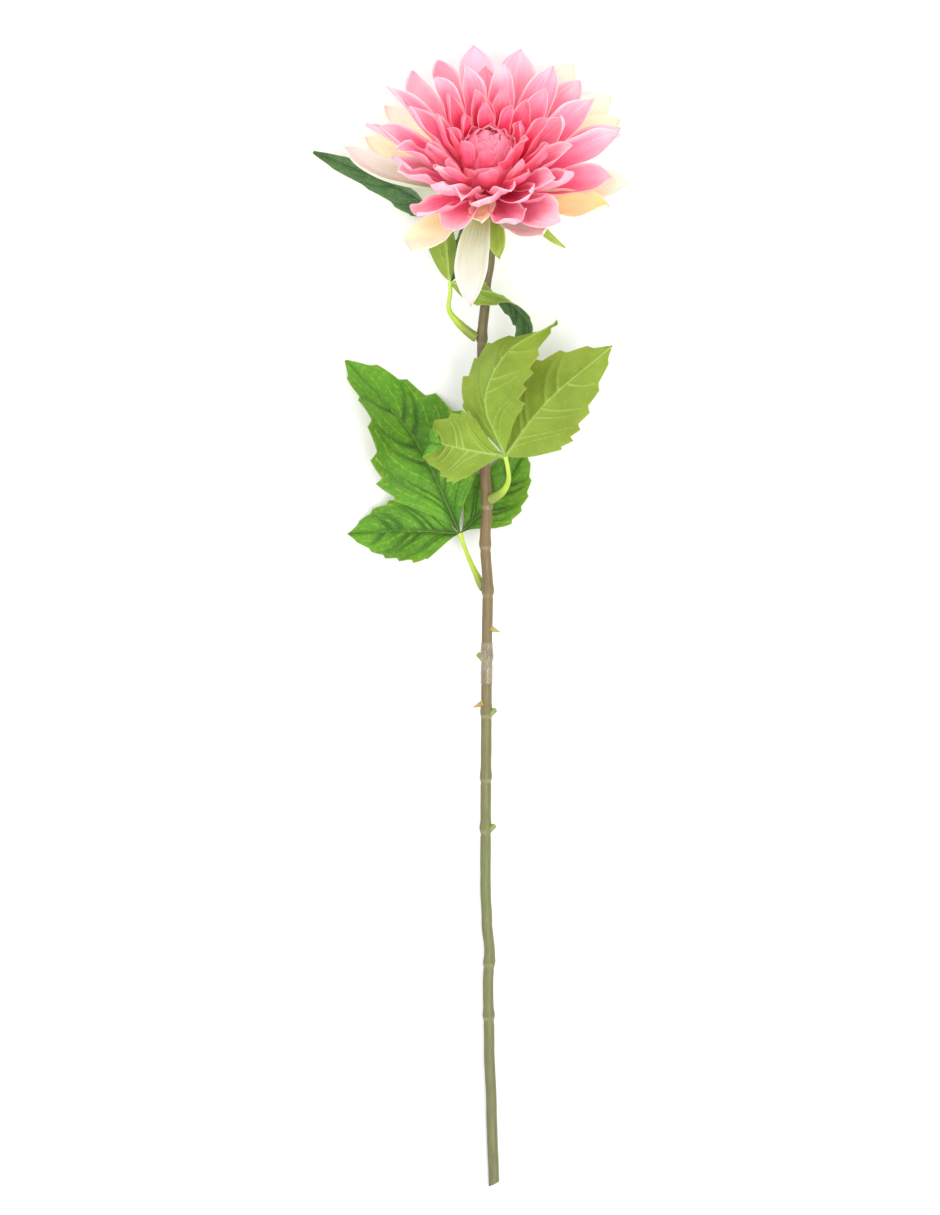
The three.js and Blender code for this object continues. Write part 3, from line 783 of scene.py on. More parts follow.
# Changes to single petals and bracts, and petals added to a piece.
SPECIAL = {
    "middle_petal_3": dict(length=55, lift=(28, 52)),
    "middle_petal_12": dict(length=67, lift=(22, 38), curl=-10, twist=8, bend=2),
    "outer_petal_1": dict(length=67, narrow=0.9, blush=0.1, tint=0.55, curl=-6),
    "outer_petal_2": dict(length=68, tint=0.5),
    "outer_petal_3": dict(azimuth=76, length=71, width=26, blush=0.1, twist=6, bend=0, tint=0.55),
    "outer_petal_4": dict(azimuth=96, length=73, blush=0.9, tint=0.8),
    "outer_petal_5": dict(azimuth=130, length=73, blush=0.8),
    "outer_petal_6": dict(azimuth=155, length=64, tint=0.9, curl=-5),
    "outer_petal_7": dict(length=50, lift=(16, 46), tint=0.75),
    "outer_petal_8": dict(azimuth=226, length=50, lift=(11, 27), curl=12, tint=0.75),
    "outer_petal_9": dict(
        azimuth=245, length=50, lift=(12, 27), curl=10, tint=0.9, wave=2.0, wave_count=2.2, blush=0.4,
    ),
    "outer_petal_10": dict(tint=0.8, curl=40, wave=1.8),
    "outer_petal_11": dict(azimuth=303, length=62, tint=0.85, wave=1.6, bend=4, width=23),
    "outer_petal_12": dict(azimuth=344, length=60, tint=0.38, curl=-10, wave=0.4, blush=0.0, narrow=1.12),
    "guard_petal_1": dict(azimuth=350, length=70, curl=0, bend=0, twist=8, tint=0.7, blush=0.1),
    "guard_petal_2": dict(azimuth=33, length=76, curl=-4, bend=0, blush=0.3),
    "guard_petal_3": dict(azimuth=46, length=87, width=25, curl=-8, bend=0, blush=0.05),
    "guard_petal_4": dict(azimuth=61, length=84, lift=(8, 20), curl=0, bend=-3, tint=0.9, blush=0.1),
    "guard_petal_5": dict(length=74),
    "guard_petal_6": dict(azimuth=132, length=76, curl=0, bend=0),
    "guard_petal_7": dict(length=68, curl=0, bend=2, blush=0.3),
    "guard_petal_8": dict(azimuth=179, length=80, narrow=0.9, fold=2.4, twist=-24, curl=10, blush=0.15),
    "guard_petal_9": dict(azimuth=232, narrow=1.12, width=25, blush=0.15, curl=-12),
    "guard_petal_10": dict(
        azimuth=258, length=70, width=20, narrow=0.98, fold=1.2, wave=0.5, groove=0.45,
        twist=0, bend=14, blush=0.25, pointed=1.5, tint=0.35, curl=-6,
    ),
    "guard_petal_11": dict(length=57, width=24, tint=1.0, blush=0.5),
    "guard_petal_12": dict(azimuth=326, length=69, tint=0.3, blush=0.9, wave=1.4, curl=0),
    "bract_1": dict(azimuth=278, length=35, width=13),
    "bract_2": dict(azimuth=326, length=45, width=8),
}

WRAPPED = dict(seat=-1.5, length=26, cup=(40, 48), blush=0.1)
HOOKED = dict(seat=2.5, start=13.6, cup=(42, 46), fold=1.9, pointed=2.4, tint=0.3, blush=0.0)
FRONT = dict(seat=-3, start=16.5, cup=(42, 44), pointed=2.0, tint=0.8, blush=0.2)
SIDE = dict(
    seat=-2, start=16.0, length=40, width=9, cup=(42, 44), fold=1.9, pointed=2.0, blush=0.3, curl_from=0.82,
)
EXTRAS = {
    "crown_whorl": [
        dict(WRAPPED, azimuth=277, start=16.0, width=25, lift=(60, 100), fold=0.9, pointed=4.5, tint=0.55,
             crumple=0.2, narrow=1.0, roll=0.2, phase=1),
        dict(WRAPPED, azimuth=243, start=14.6, width=15, lift=(52, 88), fold=1.2, pointed=2.8, tint=0.5,
             twist=-20, phase=2),
        dict(HOOKED, azimuth=128, length=25, width=9, lift=(70, 130), twist=25, phase=8),
        dict(HOOKED, azimuth=66, length=26, width=8, lift=(70, 134), twist=-28, phase=9),
        dict(HOOKED, azimuth=22, length=24, width=8, lift=(66, 124), fold=2.0, pointed=2.2, tint=0.35,
             twist=30, phase=10),
        dict(HOOKED, azimuth=158, length=24, width=9, lift=(66, 122), tint=0.35, twist=-22, phase=11),
    ],
    "upper_whorl": [
        dict(FRONT, azimuth=268, length=37, width=9, lift=(36, 50), cup=(40, 44), pointed=2.2, tint=0.95,
             blush=0.3, curl=50, curl_from=0.8, bend=-40, twist=15, phase=4),
        dict(FRONT, azimuth=300, length=46, width=11, lift=(26, 40), cup=(40, 36), fold=1.6, tint=0.85,
             curl=30, bend=26, twist=-12, phase=15),
        dict(FRONT, azimuth=246, start=16.0, length=36, width=12, lift=(34, 48), cup=(40, 40), pointed=2.2,
             blush=0.1, curl=20, bend=-12, twist=12, phase=16),
        dict(FRONT, azimuth=298, length=47, width=12, lift=(56, 70), fold=1.6, curl=20, twist=-25, bend=18,
             phase=5),
        dict(FRONT, azimuth=228, length=41, width=12, lift=(54, 72), fold=1.7, pointed=2.2, tint=0.75,
             curl=60, curl_from=0.8, twist=25, bend=-12, phase=6),
        dict(SIDE, azimuth=334, lift=(50, 66), tint=0.8, curl=70, twist=-20, phase=12),
        dict(SIDE, azimuth=198, lift=(48, 62), tint=0.85, curl=80, twist=20, phase=13),
        dict(azimuth=96, seat=1.0, length=38, width=14, lift=(62, 96), cup=(42, 40), pointed=2.2,
             tint=0.35, blush=0.0, curl=-20, phase=7),
    ],
    "guard_petal_9": [
        dict(azimuth=264, seat=-5, length=32, width=19, lift=(15, 24), cup=(34, 22), fold=1.1, pointed=3.2,
             tint=0.7, blush=0.45, wave=1.8, wave_count=2.4, curl=-15, phase=14),
    ],
}

BUD_FORM = dict(
    fold=1.05, narrow=1.0, roll=0.8, pointed=3.0, groove=0.1, rows=28, columns=15, crumple=0.2, curl=-26,
    curl_from=0.7,
)
BUD_RING = dict(count=6, cup=(34, 50), rise=0, stretch=0, turn=7, loose=4, own=BUD_FORM, liveliness=0.6)
BUD_LAYERS = [
    dict(petals=9, seat=3.5, start=13.4, length=23, width=12.5, lift=(56, 128), phase=10),
    dict(petals=8, seat=5.2, start=13.2, length=27, width=12.5, lift=(62, 156), phase=0),
    dict(petals=8, seat=6.6, start=11.2, length=28.5, width=11.5, lift=(68, 176), phase=24),
    dict(petals=7, seat=8.4, start=8.8, length=28, width=10.5, lift=(74, 190), phase=11),
    dict(petals=6, seat=10.6, start=6.2, length=25.0, width=9.0, lift=(78, 202), phase=40),
    dict(petals=4, seat=12.6, start=3.4, length=20.5, width=7.5, lift=(80, 205), phase=70),
]
BUD_CORE = dict(radius=7.6, half_height=9.6, middle=16.0, rings=17, sides=32)


def take_mesh(shape, mesh):
    """Adds a grown mesh to a shape, with the values it carries."""
    values = {}
    for label in ("along", "across", "under", "tint", "blush", "turn"):
        values[label] = np.zeros(len(mesh.vertices))
        mesh.attributes[label].data.foreach_get("value", values[label])
    shape.add(mesh_points(mesh), [tuple(face.vertices) for face in mesh.polygons], **values)
    bpy.data.meshes.remove(mesh)


def build_bud():
    """The closed heart: rounded petals wrapped over each other round a small core."""
    shape = Shape()
    for k, layer in enumerate(BUD_LAYERS):
        ring = {**BUD_RING, **layer, "salt": 70 + k}
        take_mesh(shape, grow_whorl(f"bud_layer_{k + 1}", ring, DEEP_PINK, (0.35, 0.75, 0.15)))
    rings, sides = BUD_CORE["rings"], BUD_CORE["sides"]
    core = [
        (BUD_CORE["radius"] * math.sin(polar), BUD_CORE["middle"] - BUD_CORE["half_height"] * math.cos(polar))
        for polar in np.linspace(0.02, math.pi - 0.02, rings)
    ]
    look = dict(along=0.1, across=0.0, tint=0.3, blush=0.0, turn=0.0, under=0.0)
    shape.add(from_head(lathe(core, sides)), ball_faces(rings, sides), **look)
    shape.piece("centre_bud_fabric", DEEP_PINK, "pink_petal", ["centre_bud"])


def build_petal(node, form, look, material, slot):
    """The piece for one petal of the frame, with the changes and extra petals it is given."""
    shape = Shape()
    add_petal(shape, **{**look, **form, **SPECIAL.get(node, {})})
    for extra in EXTRAS.get(node, []):
        add_petal(shape, **extra)
    shape.piece(f"{node}_fabric", material, slot, [node])


def build_ring(name, ring, tint, blush):
    salt = ring["salt"]
    for i, form in enumerate(ring_forms(ring)):
        look = dict(tint=pick(i, salt + 31, *tint), blush=pick(i, salt + 32, *blush))
        build_petal(f"{name}_{i + 1}", varied(form, i, salt), look, PINK, "pink_petal")


def build_head():
    build_bud()
    for name, ring, rise, lean, material, look in (
        ("crown_whorl", CROWN, 0, 3, DEEP_PINK, (0.05, 0.4, 0.1)),
        ("upper_whorl", UPPER, -5, 12, DEEP_PINK, (0.15, 0.55, 0.2)),
        ("inner_whorl", INNER, 0, 8, PINK, (0.25, 0.6, 0.2)),
    ):
        shape = Shape()
        take_mesh(shape, grow_whorl(name, {**ring, "rise": rise, "lean": lean}, material, look))
        for extra in EXTRAS.get(name, []):
            add_petal(shape, **extra)
        shape.piece(f"{name}_fabric", material, "pink_petal", [name])
    build_ring("middle_petal", MIDDLE, tint=(0.3, 0.6), blush=(0, 0.2))
    build_ring("outer_petal", OUTER, tint=(0.45, 0.85), blush=(0, 0.8))
    for i, own in enumerate(GUARD_PETALS):
        look = dict(tint=pick(i, 62, 0.35, 0.65), blush=pick(i, 63, 0.0, 0.25))
        material = WHITE if i + 1 in WHITE_GUARDS else CREAM
        form = varied({**GUARD, **own}, i, 61, 0.8)
        build_petal(f"guard_petal_{i + 1}", form, look, material, "cream_petal")
    for i, (azimuth, length) in enumerate(BRACTS):
        form = {**BRACT, "azimuth": azimuth, "length": length, "groove": 0.1, "fold": 1.2, "pointed": 1.2}
        build_petal(f"bract_{i + 1}", form, dict(tint=0.5, blush=0.2), BRACT_GREEN, "leaf")


def build_receptacle():
    """The green knob under the petals, with a few soft ribs."""
    sides = 48
    profile = receptacle_profile()
    ribs = 0.035 * np.cos(12 * circle(sides))
    pairs = []
    for radius, height in profile:
        ribbed = 1 + ribs * (radius > RECEPTACLE["seat_radius"])
        pairs.append((max(radius + 0.25, 0.05) * ribbed, height))
    heights = np.repeat([height for _, height in profile], sides)
    shape = Shape()
    shape.add(from_head(lathe(pairs, sides)), ball_faces(len(pairs), sides), along=heights / 20 + 1)
    shape.piece("receptacle_knob", KNOB_PAINT, "green_stalk", ["receptacle"])


# ---- Stem ----

STEM = dict(length=521.0, radius=2.85, neck_radius=2.3, skin=0.15)
NECK = dict(back=43.4, drop=29.0, straight=10.0)
STEM_WANDER = [
    (-60, 0), (0, 0.9), (20, -1.6), (47, -3.9), (95, -3.9), (125, -2.1), (138, -0.9), (160, -2), (188, -0.6),
    (216, -1.1), (256, -1.4), (319, -1.8), (353, -1.9), (374, -1.1), (390, 0.4), (409, -0.4), (444, 0.2),
    (480, 1.5), (521, 2.8), (640, 4),
]
STEM_NODES = [47, 139, 162, 188, 225, 256, 292, 321, 396, 426]
NODE_SWELL = dict(rise=0.5, groove=0.35, spread=3.2)
CUT_SLANT = 0.5
BEND_FROM = 0.34
STUBS = dict(spots=[(226, -1), (257, 1), (322, 1)], radius=1.8, length=4.4, lean=50, tip=1.4)
THORNS = dict(spots=[(209, 1), (251, -1)], radius=2.1, length=6.2, lean=112, tip=0.25)
TAPE = dict(start=217.0, end=240.0, rings=40, sides=40, outside=0.62, inside=0.2)

HEAD = HEAD_CENTRE / MM
NECK_POINT = HEAD + np.array([0.0, -NECK["back"], -NECK["drop"]])


def wander_at(distance):
    for (d0, x0), (d1, x1) in zip(STEM_WANDER, STEM_WANDER[1:]):
        if distance < d1:
            return x0 + (x1 - x0) * float(smoothstep(d0, d1, distance))
    return STEM_WANDER[-1][1]


def stem_radius(distance):
    thicker = min(max((distance + 40) / 140, 0), 1)
    slim = STEM["neck_radius"] + (STEM["radius"] - STEM["neck_radius"]) * thicker
    for node in STEM_NODES:
        off = (distance - node) / NODE_SWELL["spread"]
        slim += NODE_SWELL["rise"] * math.exp(-off * off)
        slim -= NODE_SWELL["groove"] * math.exp(-((off * 2.5 - 2.5) ** 2))
    return slim + STEM["skin"]


def stem_axis(distance):
    lying = STEM["radius"] + STEM["skin"]
    height = NECK_POINT[2] + (lying - NECK_POINT[2]) * distance / STEM["length"]
    return np.array([HEAD[0] + wander_at(distance), NECK_POINT[1] - distance, height])


def catmull_rom(points):
    """A smooth path through points, read with a share from 0 to 1."""
    points = [np.asarray(p, dtype=float) for p in points]
    ends = [2 * points[0] - points[1], *points, 2 * points[-1] - points[-2]]

    def at(share):
        place_at = min(max(share, 0.0), 1.0) * (len(points) - 1)
        i = min(int(place_at), len(points) - 2)
        w = place_at - i
        p0, p1, p2, p3 = ends[i : i + 4]
        d0, d1, d2 = (max(np.linalg.norm(b - a), 1e-9) ** 0.5 for a, b in ((p0, p1), (p1, p2), (p2, p3)))
        t1 = ((p1 - p0) / d0 - (p2 - p0) / (d0 + d1) + (p2 - p1) / d1) * d1
        t2 = ((p2 - p1) / d1 - (p3 - p1) / (d1 + d2) + (p3 - p2) / d2) * d1
        return p1 + t1 * w + (3 * (p2 - p1) - 2 * t1 - t2) * w**2 + (2 * (p1 - p2) + t1 + t2) * w**3

    return at


def add_peg(shape, distance, side, radius, length, lean, tip):
    """A stub or thorn on the stem's side, with a rounded tip."""
    depth = stem_radius(distance) * 0.6
    foot = stem_axis(distance) + np.array([side * depth, 0.0, depth * 0.4])
    turn = math.radians(lean)
    way = np.array([side * math.sin(turn), math.cos(turn), 0.0])
    wide = np.array([-way[1], way[0], 0.0])
    up = np.array([0, 0, 1])
    shares, around = (0.0, 0.3, 0.6, 0.85, 0.97, 1.0), circle(16)
    points = []
    for share in shares:
        size = radius + (tip - radius) * share**0.8
        size *= math.sqrt(max(1 - ((share - 0.85) / 0.16) ** 2, 0.01)) if share > 0.85 else 1
        centre = foot + way * length * share
        points += [centre + size * (wide * math.cos(a) + up * math.sin(a)) for a in around]
    faces = [face[::-1] for face in ball_faces(len(shares), len(around))]
    shape.add(np.array(points) * MM, faces, along=0.5)


def build_pegs(name, spots, material, **sizes):
    shape = Shape()
    for distance, side in spots:
        add_peg(shape, distance, side, **sizes)
    shape.piece(name, material, "stem", [])


def build_stem():
    foot = HEAD + HEAD_AXIS * (RECEPTACLE["bottom"] - GAP)
    bend = catmull_rom([stem_axis(25), stem_axis(0), foot - HEAD_AXIS * NECK["straight"], foot])
    points, radii = [], []
    for distance in np.arange(STEM["length"], 0, -1.5):
        points.append(stem_axis(distance))
        radii.append(stem_radius(distance))
    for share in np.linspace(BEND_FROM, 1, 30)[1:]:
        points.append(bend(share))
        slimmer = (share - BEND_FROM) / (1 - BEND_FROM)
        radii.append(stem_radius(0) + (STEM["neck_radius"] - stem_radius(0)) * slimmer)
    mesh = grow_tube("stem_skin", np.array(points) * MM, np.array(radii) * MM, 28, 0.5 * MM, STEM_BARK)
    spots = mesh_points(mesh)
    down = NECK_POINT[1] - spots[:, 1] / MM
    sideways = spots[:, 0] - stem_axis(STEM["length"])[0] * MM
    spots[:, 1] += CUT_SLANT * sideways * smoothstep(STEM["length"] - 6, STEM["length"], down)
    mesh.vertices.foreach_set("co", spots.reshape(-1))
    joint = sum(np.exp(-(((down - node - 2.6) / 0.7) ** 2)) for node in STEM_NODES)
    mesh.attributes.new("joint", "FLOAT", "POINT").data.foreach_set("value", joint.astype(np.float32))
    place("stem_skin", mesh, ["stem"])
    build_pegs("stem_stubs", material=STALK_GREEN, **STUBS)
    build_pegs("stem_thorns", material=THORN_TAN, **THORNS)


def tape_ring(distance, proud, wrinkle):
    size, around = stem_radius(distance) + proud + wrinkle, circle(TAPE["sides"])
    return stem_axis(distance) + np.stack([size * np.cos(around), 0 * around, size * np.sin(around)], 1)


def build_tape():
    """A thin clear band wound once round the stem."""
    stations, around = np.linspace(TAPE["start"], TAPE["end"], TAPE["rings"]), circle(TAPE["sides"])
    outer = []
    for k, distance in enumerate(stations):
        wrinkle = 0.09 * np.sin(5 * around + 0.6 * k) + 0.05 * np.sin(11 * around - 0.9 * k)
        outer.append(tape_ring(distance, TAPE["outside"], wrinkle))
    inner = [tape_ring(distance, TAPE["inside"], 0.0) for distance in stations[::-1]]
    shape = Shape()
    faces = tube_faces(len(outer + inner), TAPE["sides"], closed=True)
    shape.add(np.concatenate(outer + inner) * MM, faces, along=0.5)
    shape.piece("tape_film", CLEAR_TAPE, "tape", ["tape_band"])


# ---- Leaves ----

PETIOLE = dict(foot_radius=2.0, foot_tilt=math.radians(40), slim=1.15, swell=1.7, flare=0.35)
LEAF = dict(base_share=0.025, widest_at=0.38, pointed=1.15, fold=math.radians(14))
TEETH = dict(depth=0.12, per_side=6, first=0.16, last=0.93, lead=0.72)

LEAVES = [
    dict(
        name="upper_leaf", distance=48, foot=(-1, 0.52, 0.13),
        stalk=[(-14, 10.5, 1.5), (-18.5, 17.3, 3), (-17.6, 27.5, 4.6), (-17.9, 32.5, 5)],
        leaflets=[
            dict(name="long_leaflet", points=[(-25.1, 70, 3), (-46, 85, 0), (-94.6, 105.5, -9)],
                 sides=[(0.8, 0.1, -0.6), (0.1, -0.3, -0.95), (-0.35, -0.8, -0.5)], width=36),
            dict(name="hidden_leaflet", points=[(-8, 49, -10), (-1, 68, -15), (8, 84, -19)],
                 sides=[(-0.9, 0.3, -0.45), (-0.9, 0.3, -0.1)], width=17),
            dict(name="folded_leaflet", sides=[(-0.1, -0.75, 0.6), (0.75, 0.45, 0.55)], width=22,
                 points=[(-1, 27.5, 14), (13, 23, 12.5), (24, 8.5, 4), (18.5, -8.5, -3)]),
        ],
    ),
    dict(
        name="front_leaf", distance=138, foot=(0.59, 0.32, 0.81),
        stalk=[(8.6, 5.4, 8), (11.8, 11.5, 12.5), (11.2, 19, 17.5), (9.9, 25, 20)],
        leaflets=[
            dict(name="right_leaflet", points=[(32, 54, 27), (69.6, 86.5, 24)],
                 sides=[(0.7, -0.6, 0.15), (0.75, -0.65, -0.1)], width=47),
            dict(name="middle_leaflet", points=[(-1, 56, 38), (11, 82, 43), (39, 99, 36)],
                 sides=[(0.8, 0.1, 0.6), (0.55, -0.3, 0.78)], width=46, ease=1.3),
            dict(name="left_leaflet", points=[(-12, 28.5, 33), (-24, 31.3, 32), (-41, 34.5, 29)],
                 sides=[(0.1, 0.95, 0.1), (0.1, 0.98, 0.1)], width=39, roll=(0.73, 3.4, 205), ease=1.5),
        ],
    ),
    dict(
        name="rear_leaf", distance=188, foot=(-0.61, 0.53, -0.79),
        stalk=[(-7.4, 11, -6), (-12.2, 22.2, -9.5), (-15.6, 32, -11.5)],
        leaflets=[
            dict(name="long_leaflet", points=[(-40, 83, -6), (-79.6, 129.6, -16.5)],
                 sides=[(-0.8, 0.5, 0.12), (-0.8, 0.55, 0)], width=57, ease=1.7),
            dict(name="left_leaflet", points=[(-46, 33.5, -12), (-78.9, 32, -19.5)],
                 sides=[(0, -0.93, 0.35), (0, -0.98, 0.1)], width=37, ease=1.4),
            dict(name="right_leaflet", points=[(6, 54, -14.5), (22, 80, -15)],
                 sides=[(-0.75, 0.6, -0.35), (-0.75, 0.6, 0)], width=33, ease=1.7),
        ],
    ),
]


def leaflet_outline(s, ease):
    base, widest = LEAF["base_share"], LEAF["widest_at"]
    grow = base + (1 - base) * np.sin(np.pi / 2 * np.clip(s / widest, 0, 1)) ** ease
    late = np.clip((s - widest) / (1 - widest), 0, 1)
    return np.where(s < widest, grow, np.cos(np.pi / 2 * late ** LEAF["pointed"]))


TOOTH_STEP = (TEETH["last"] - TEETH["first"]) / TEETH["per_side"]
TOOTH_SHIFT = 0.12
SIDE_VEINS = 5


def tooth_height(s, side, salt):
    """0 at each notch and up to 1 at each tooth's point, which leans towards the leaflet's tip."""
    place_at = (s - TEETH["first"] - TOOTH_SHIFT * TOOTH_STEP * side) / TOOTH_STEP
    number = np.floor(place_at)
    share = place_at - number
    rise = np.where(share < TEETH["lead"], share / TEETH["lead"], (1 - share) / (1 - TEETH["lead"]))
    inside = (number >= 0) & (number < TEETH["per_side"])
    size = 1 + 0.3 * np.sin(number * 12.7 + side * 3.1 + salt)
    return np.where(inside, rise**1.25 * size, 0)


def leaflet_grid(start, points, sides, width, salt, roll=None, ease=0.8):
    """A leaflet's middle surface, along its path from the stalk, with the values its material reads."""
    away = points[0] - start
    away = away / np.linalg.norm(away)
    path = catmull_rom([start + away * 0.5, *points])
    marks = [
        TEETH["first"] + TOOTH_STEP * (k + TOOTH_SHIFT * side + at)
        for k in range(TEETH["per_side"]) for side in (-1, 1) for at in (0, TEETH["lead"])
    ]
    s = np.array(sorted({round(float(v), 5) for v in [*np.linspace(0, 1, 92), *marks]}))
    u = np.linspace(-1, 1, 61)
    u = np.sign(u) * np.abs(u) ** 0.92
    centre = np.array([path(t) for t in s])
    tangent = np.array([path(min(t + 0.004, 1)) - path(max(t - 0.004, 0)) for t in s])
    tangent /= np.linalg.norm(tangent, axis=1, keepdims=True)
    span = np.array(sides, dtype=float)
    where = s * (len(span) - 1)
    left = np.stack([np.interp(where, np.arange(len(span)), span[:, k]) for k in range(3)], 1)
    left -= (left * tangent).sum(1, keepdims=True) * tangent
    left /= np.linalg.norm(left, axis=1, keepdims=True)
    up = np.cross(tangent, left)
    length = np.linalg.norm(np.diff(centre, axis=0), axis=1).sum()
    if roll:
        first, radius, most = roll
        k = int(np.searchsorted(s, first))
        turned = np.minimum((s[k:] - s[k]) * length / radius, math.radians(most))[:, None]
        spare = ((s[k:] - s[k]) * length)[:, None] - turned * radius
        ahead, over, hub = tangent[k].copy(), -up[k].copy(), centre[k].copy()
        tangent[k:] = np.cos(turned) * ahead + np.sin(turned) * over
        centre[k:] = hub + radius * (np.sin(turned) * ahead + (1 - np.cos(turned)) * over)
        centre[k:] += spare * tangent[k:]
        up[k:] = np.cos(turned) * -over + np.sin(turned) * ahead

    S, U = np.meshgrid(s, u, indexing="ij")
    side = np.sign(U)
    teeth = tooth_height(S, side, salt)
    out = np.abs(U)
    reach = 0.5 * width * leaflet_outline(np.minimum(S, 0.997), ease) * (1 + TEETH["depth"] * teeth * out**3)
    X = reach * U
    veins = np.zeros_like(S)
    shade = np.zeros_like(S)
    inner = smoothstep(0.0, 0.05, out) * (1 - smoothstep(0.72, 0.98, out)) * (1 - smoothstep(0.82, 0.95, S))
    for k in range(SIDE_VEINS):
        root = 0.03 + 0.155 * k + 0.03 * side * (-1) ** k + 0.01 * math.sin(5 * k + salt)
        line = root + (0.5 - 0.06 * k) * (1 - 0.5 * root) * out**1.25
        off = (S - line) * length * 0.8
        veins = np.maximum(veins, np.exp(-((off / (0.6 - 0.3 * out)) ** 2)) * inner * (1 - 0.35 * out))
        shade = np.maximum(shade, np.exp(-((off / (1.9 - 0.9 * out)) ** 2)) * inner * (1 - 0.75 * out))
    rib = np.exp(-((X / (0.95 * (1 - 0.65 * S))) ** 2))
    rib_shade = np.exp(-((X / (3.0 * (1 - 0.6 * S) + 0.2)) ** 2)) * (1 - 0.7 * S)
    puff = (1 - shade) * (1 - rib_shade) * (1 - U**4)
    puff *= smoothstep(0.0, 0.1, S) * (1 - smoothstep(0.8, 1.0, S))
    Y = reach * (np.sqrt(U * U + 0.01) - 0.1) * math.sin(LEAF["fold"])
    Y += 0.75 * puff - 0.45 * veins - 0.55 * rib
    ripple = np.sin(math.tau * 1.9 * S + salt + 1.3 * side)
    Y += 0.045 * width * out**2.2 * ripple * smoothstep(0.05, 0.4, S)
    X = X * math.cos(LEAF["fold"])
    ahead = 0.5 * TEETH["depth"] * 0.5 * width * teeth * out**6
    grid = centre[:, None] + left[:, None] * X[..., None] + up[:, None] * Y[..., None]
    grid += tangent[:, None] * ahead[..., None]
    vein = np.maximum(veins, rib)
    return grid, dict(along=S, across=U, vein=vein, shade=np.maximum(shade, rib_shade))


def build_leaf(leaf, material, salt):
    spot = stem_axis(leaf["distance"])
    out = np.array(leaf["foot"], dtype=float)
    clear = stem_radius(leaf["distance"]) + GAP + PETIOLE["foot_radius"] * math.sin(PETIOLE["foot_tilt"])
    out *= clear / math.hypot(out[0], out[2])
    stalk = [out + spot] + [np.array(p) + spot for p in leaf["stalk"]]
    path = catmull_rom([stalk[0] - 0.35 * (stalk[0] - spot), *stalk])
    shares = np.linspace(0, 1, 46)
    radii = PETIOLE["slim"] + PETIOLE["swell"] * np.exp(-(((shares - 0.14) / 0.33) ** 2))
    radii += PETIOLE["flare"] * np.exp(-(((1 - shares) / 0.06) ** 2))
    name = f"{leaf['name']}_petiole"
    line = np.array([path(t) for t in shares])
    mesh = grow_tube(f"{name}_skin", line * MM, radii * MM, 18, 0.25 * MM, PETIOLE_GREEN)
    place(f"{name}_skin", mesh, [name])
    for i, leaflet in enumerate(leaf["leaflets"]):
        own = {key: leaflet[key] for key in ("sides", "width", "roll", "ease") if key in leaflet}
        points = [np.array(p, dtype=float) + spot for p in leaflet["points"]]
        grid, values = leaflet_grid(stalk[-1], points, salt=salt + 1.7 * i, **own)
        shape = Shape()
        wall = 0.55 * MM * (1 - 0.5 * values["across"] ** 4)
        add_blade(shape, off_floor(grid * MM), wall, turn=salt + 0.37 * i, **values)
        name = f"{leaf['name']}_{leaflet['name']}"
        shape.piece(f"{name}_fabric", material, "leaf", [name])


# ---- Green and plastic materials ----


def leaf_fabric(name, top, top_light, groove, net, back, back_light, back_vein):
    """Printed leaf fabric: mottled green with painted shade along the grooves above, pale with raised veins
    below.
    """
    p = Paint(name)
    spot = p.place()
    mottle = p.noise(spot, 45.0, 3.0)
    specks = p.noise(spot, 420.0, 3.0, 0.7)
    noise = p.node("ShaderNodeTexNoise")
    noise.inputs["Scale"].default_value = 240.0
    p.set(noise.inputs["Vector"], spot)
    shift = p.node("ShaderNodeVectorMath", operation="SCALE")
    shift.inputs["Scale"].default_value = 0.003
    p.set(shift.inputs[0], noise.outputs["Color"])
    wobble = p.node("ShaderNodeVectorMath", operation="ADD")
    p.set(wobble.inputs[0], spot)
    p.set(wobble.inputs[1], shift.outputs[0])
    cells = p.node("ShaderNodeTexVoronoi", feature="DISTANCE_TO_EDGE")
    cells.inputs["Scale"].default_value = 520.0
    p.set(cells.inputs["Vector"], wobble.outputs[0])
    lines = p.math("SUBTRACT", 1.0, p.step(cells.outputs["Distance"], 0.0, 0.10))
    vein, side = p.value("vein"), p.math("ABSOLUTE", p.value("across"))

    face = p.mix(p.step(mottle, 0.3, 0.7), top, top_light)
    face = p.mix(p.times(p.step(specks, 0.45, 0.75), 0.35), face, net)
    face = p.mix(p.times(lines, 0.14), face, net)
    bow = p.times(p.math("POWER", side, 1.25), 0.42)
    order = p.plus(p.times(p.math("SUBTRACT", p.value("along"), bow), 8.0), p.times(mottle, 0.9))
    ribs = p.step(p.math("ABSOLUTE", p.math("SUBTRACT", p.math("FRACT", order), 0.5)), 0.075, 0.01)
    ribs = p.times(ribs, p.step(specks, 0.35, 0.6))
    face = p.mix(p.times(ribs, 0.7), face, net)
    # Painted shade: the groove colour darkens the upper face beside the veins and the midrib, where shade
    # falls in the grooves.
    face = p.mix(p.times(p.value("shade"), 0.85), face, groove)
    face = p.mix(p.times(p.math("POWER", vein, 6.0), 0.55), face, net)

    rear = p.mix(p.step(mottle, 0.3, 0.7), back, back_light)
    rear = p.mix(p.times(p.step(specks, 0.5, 0.8), 0.2), rear, back_vein)
    rear = p.mix(p.times(p.math("POWER", vein, 2.0), 0.8), rear, back_vein)

    colour = p.mix(p.value("under"), face, rear)
    colour = p.mix(p.times(p.step(side, 0.965, 1.0), 0.35), colour, back_vein)
    p.bump(p.plus(p.times(specks, 0.6), p.times(lines, -0.5)), 0.35, 0.0005)
    # Painted light: the leaf glows faintly in its own colour, standing in for light shining through the thin
    # leaves.
    p.set(p.shader.inputs["Emission Color"], colour)
    return p.finish(
        colour, 0.6, Emission_Strength=0.04, Subsurface_Weight=0.15, Subsurface_Scale=0.003,
        Specular_IOR_Level=0.3,
    )
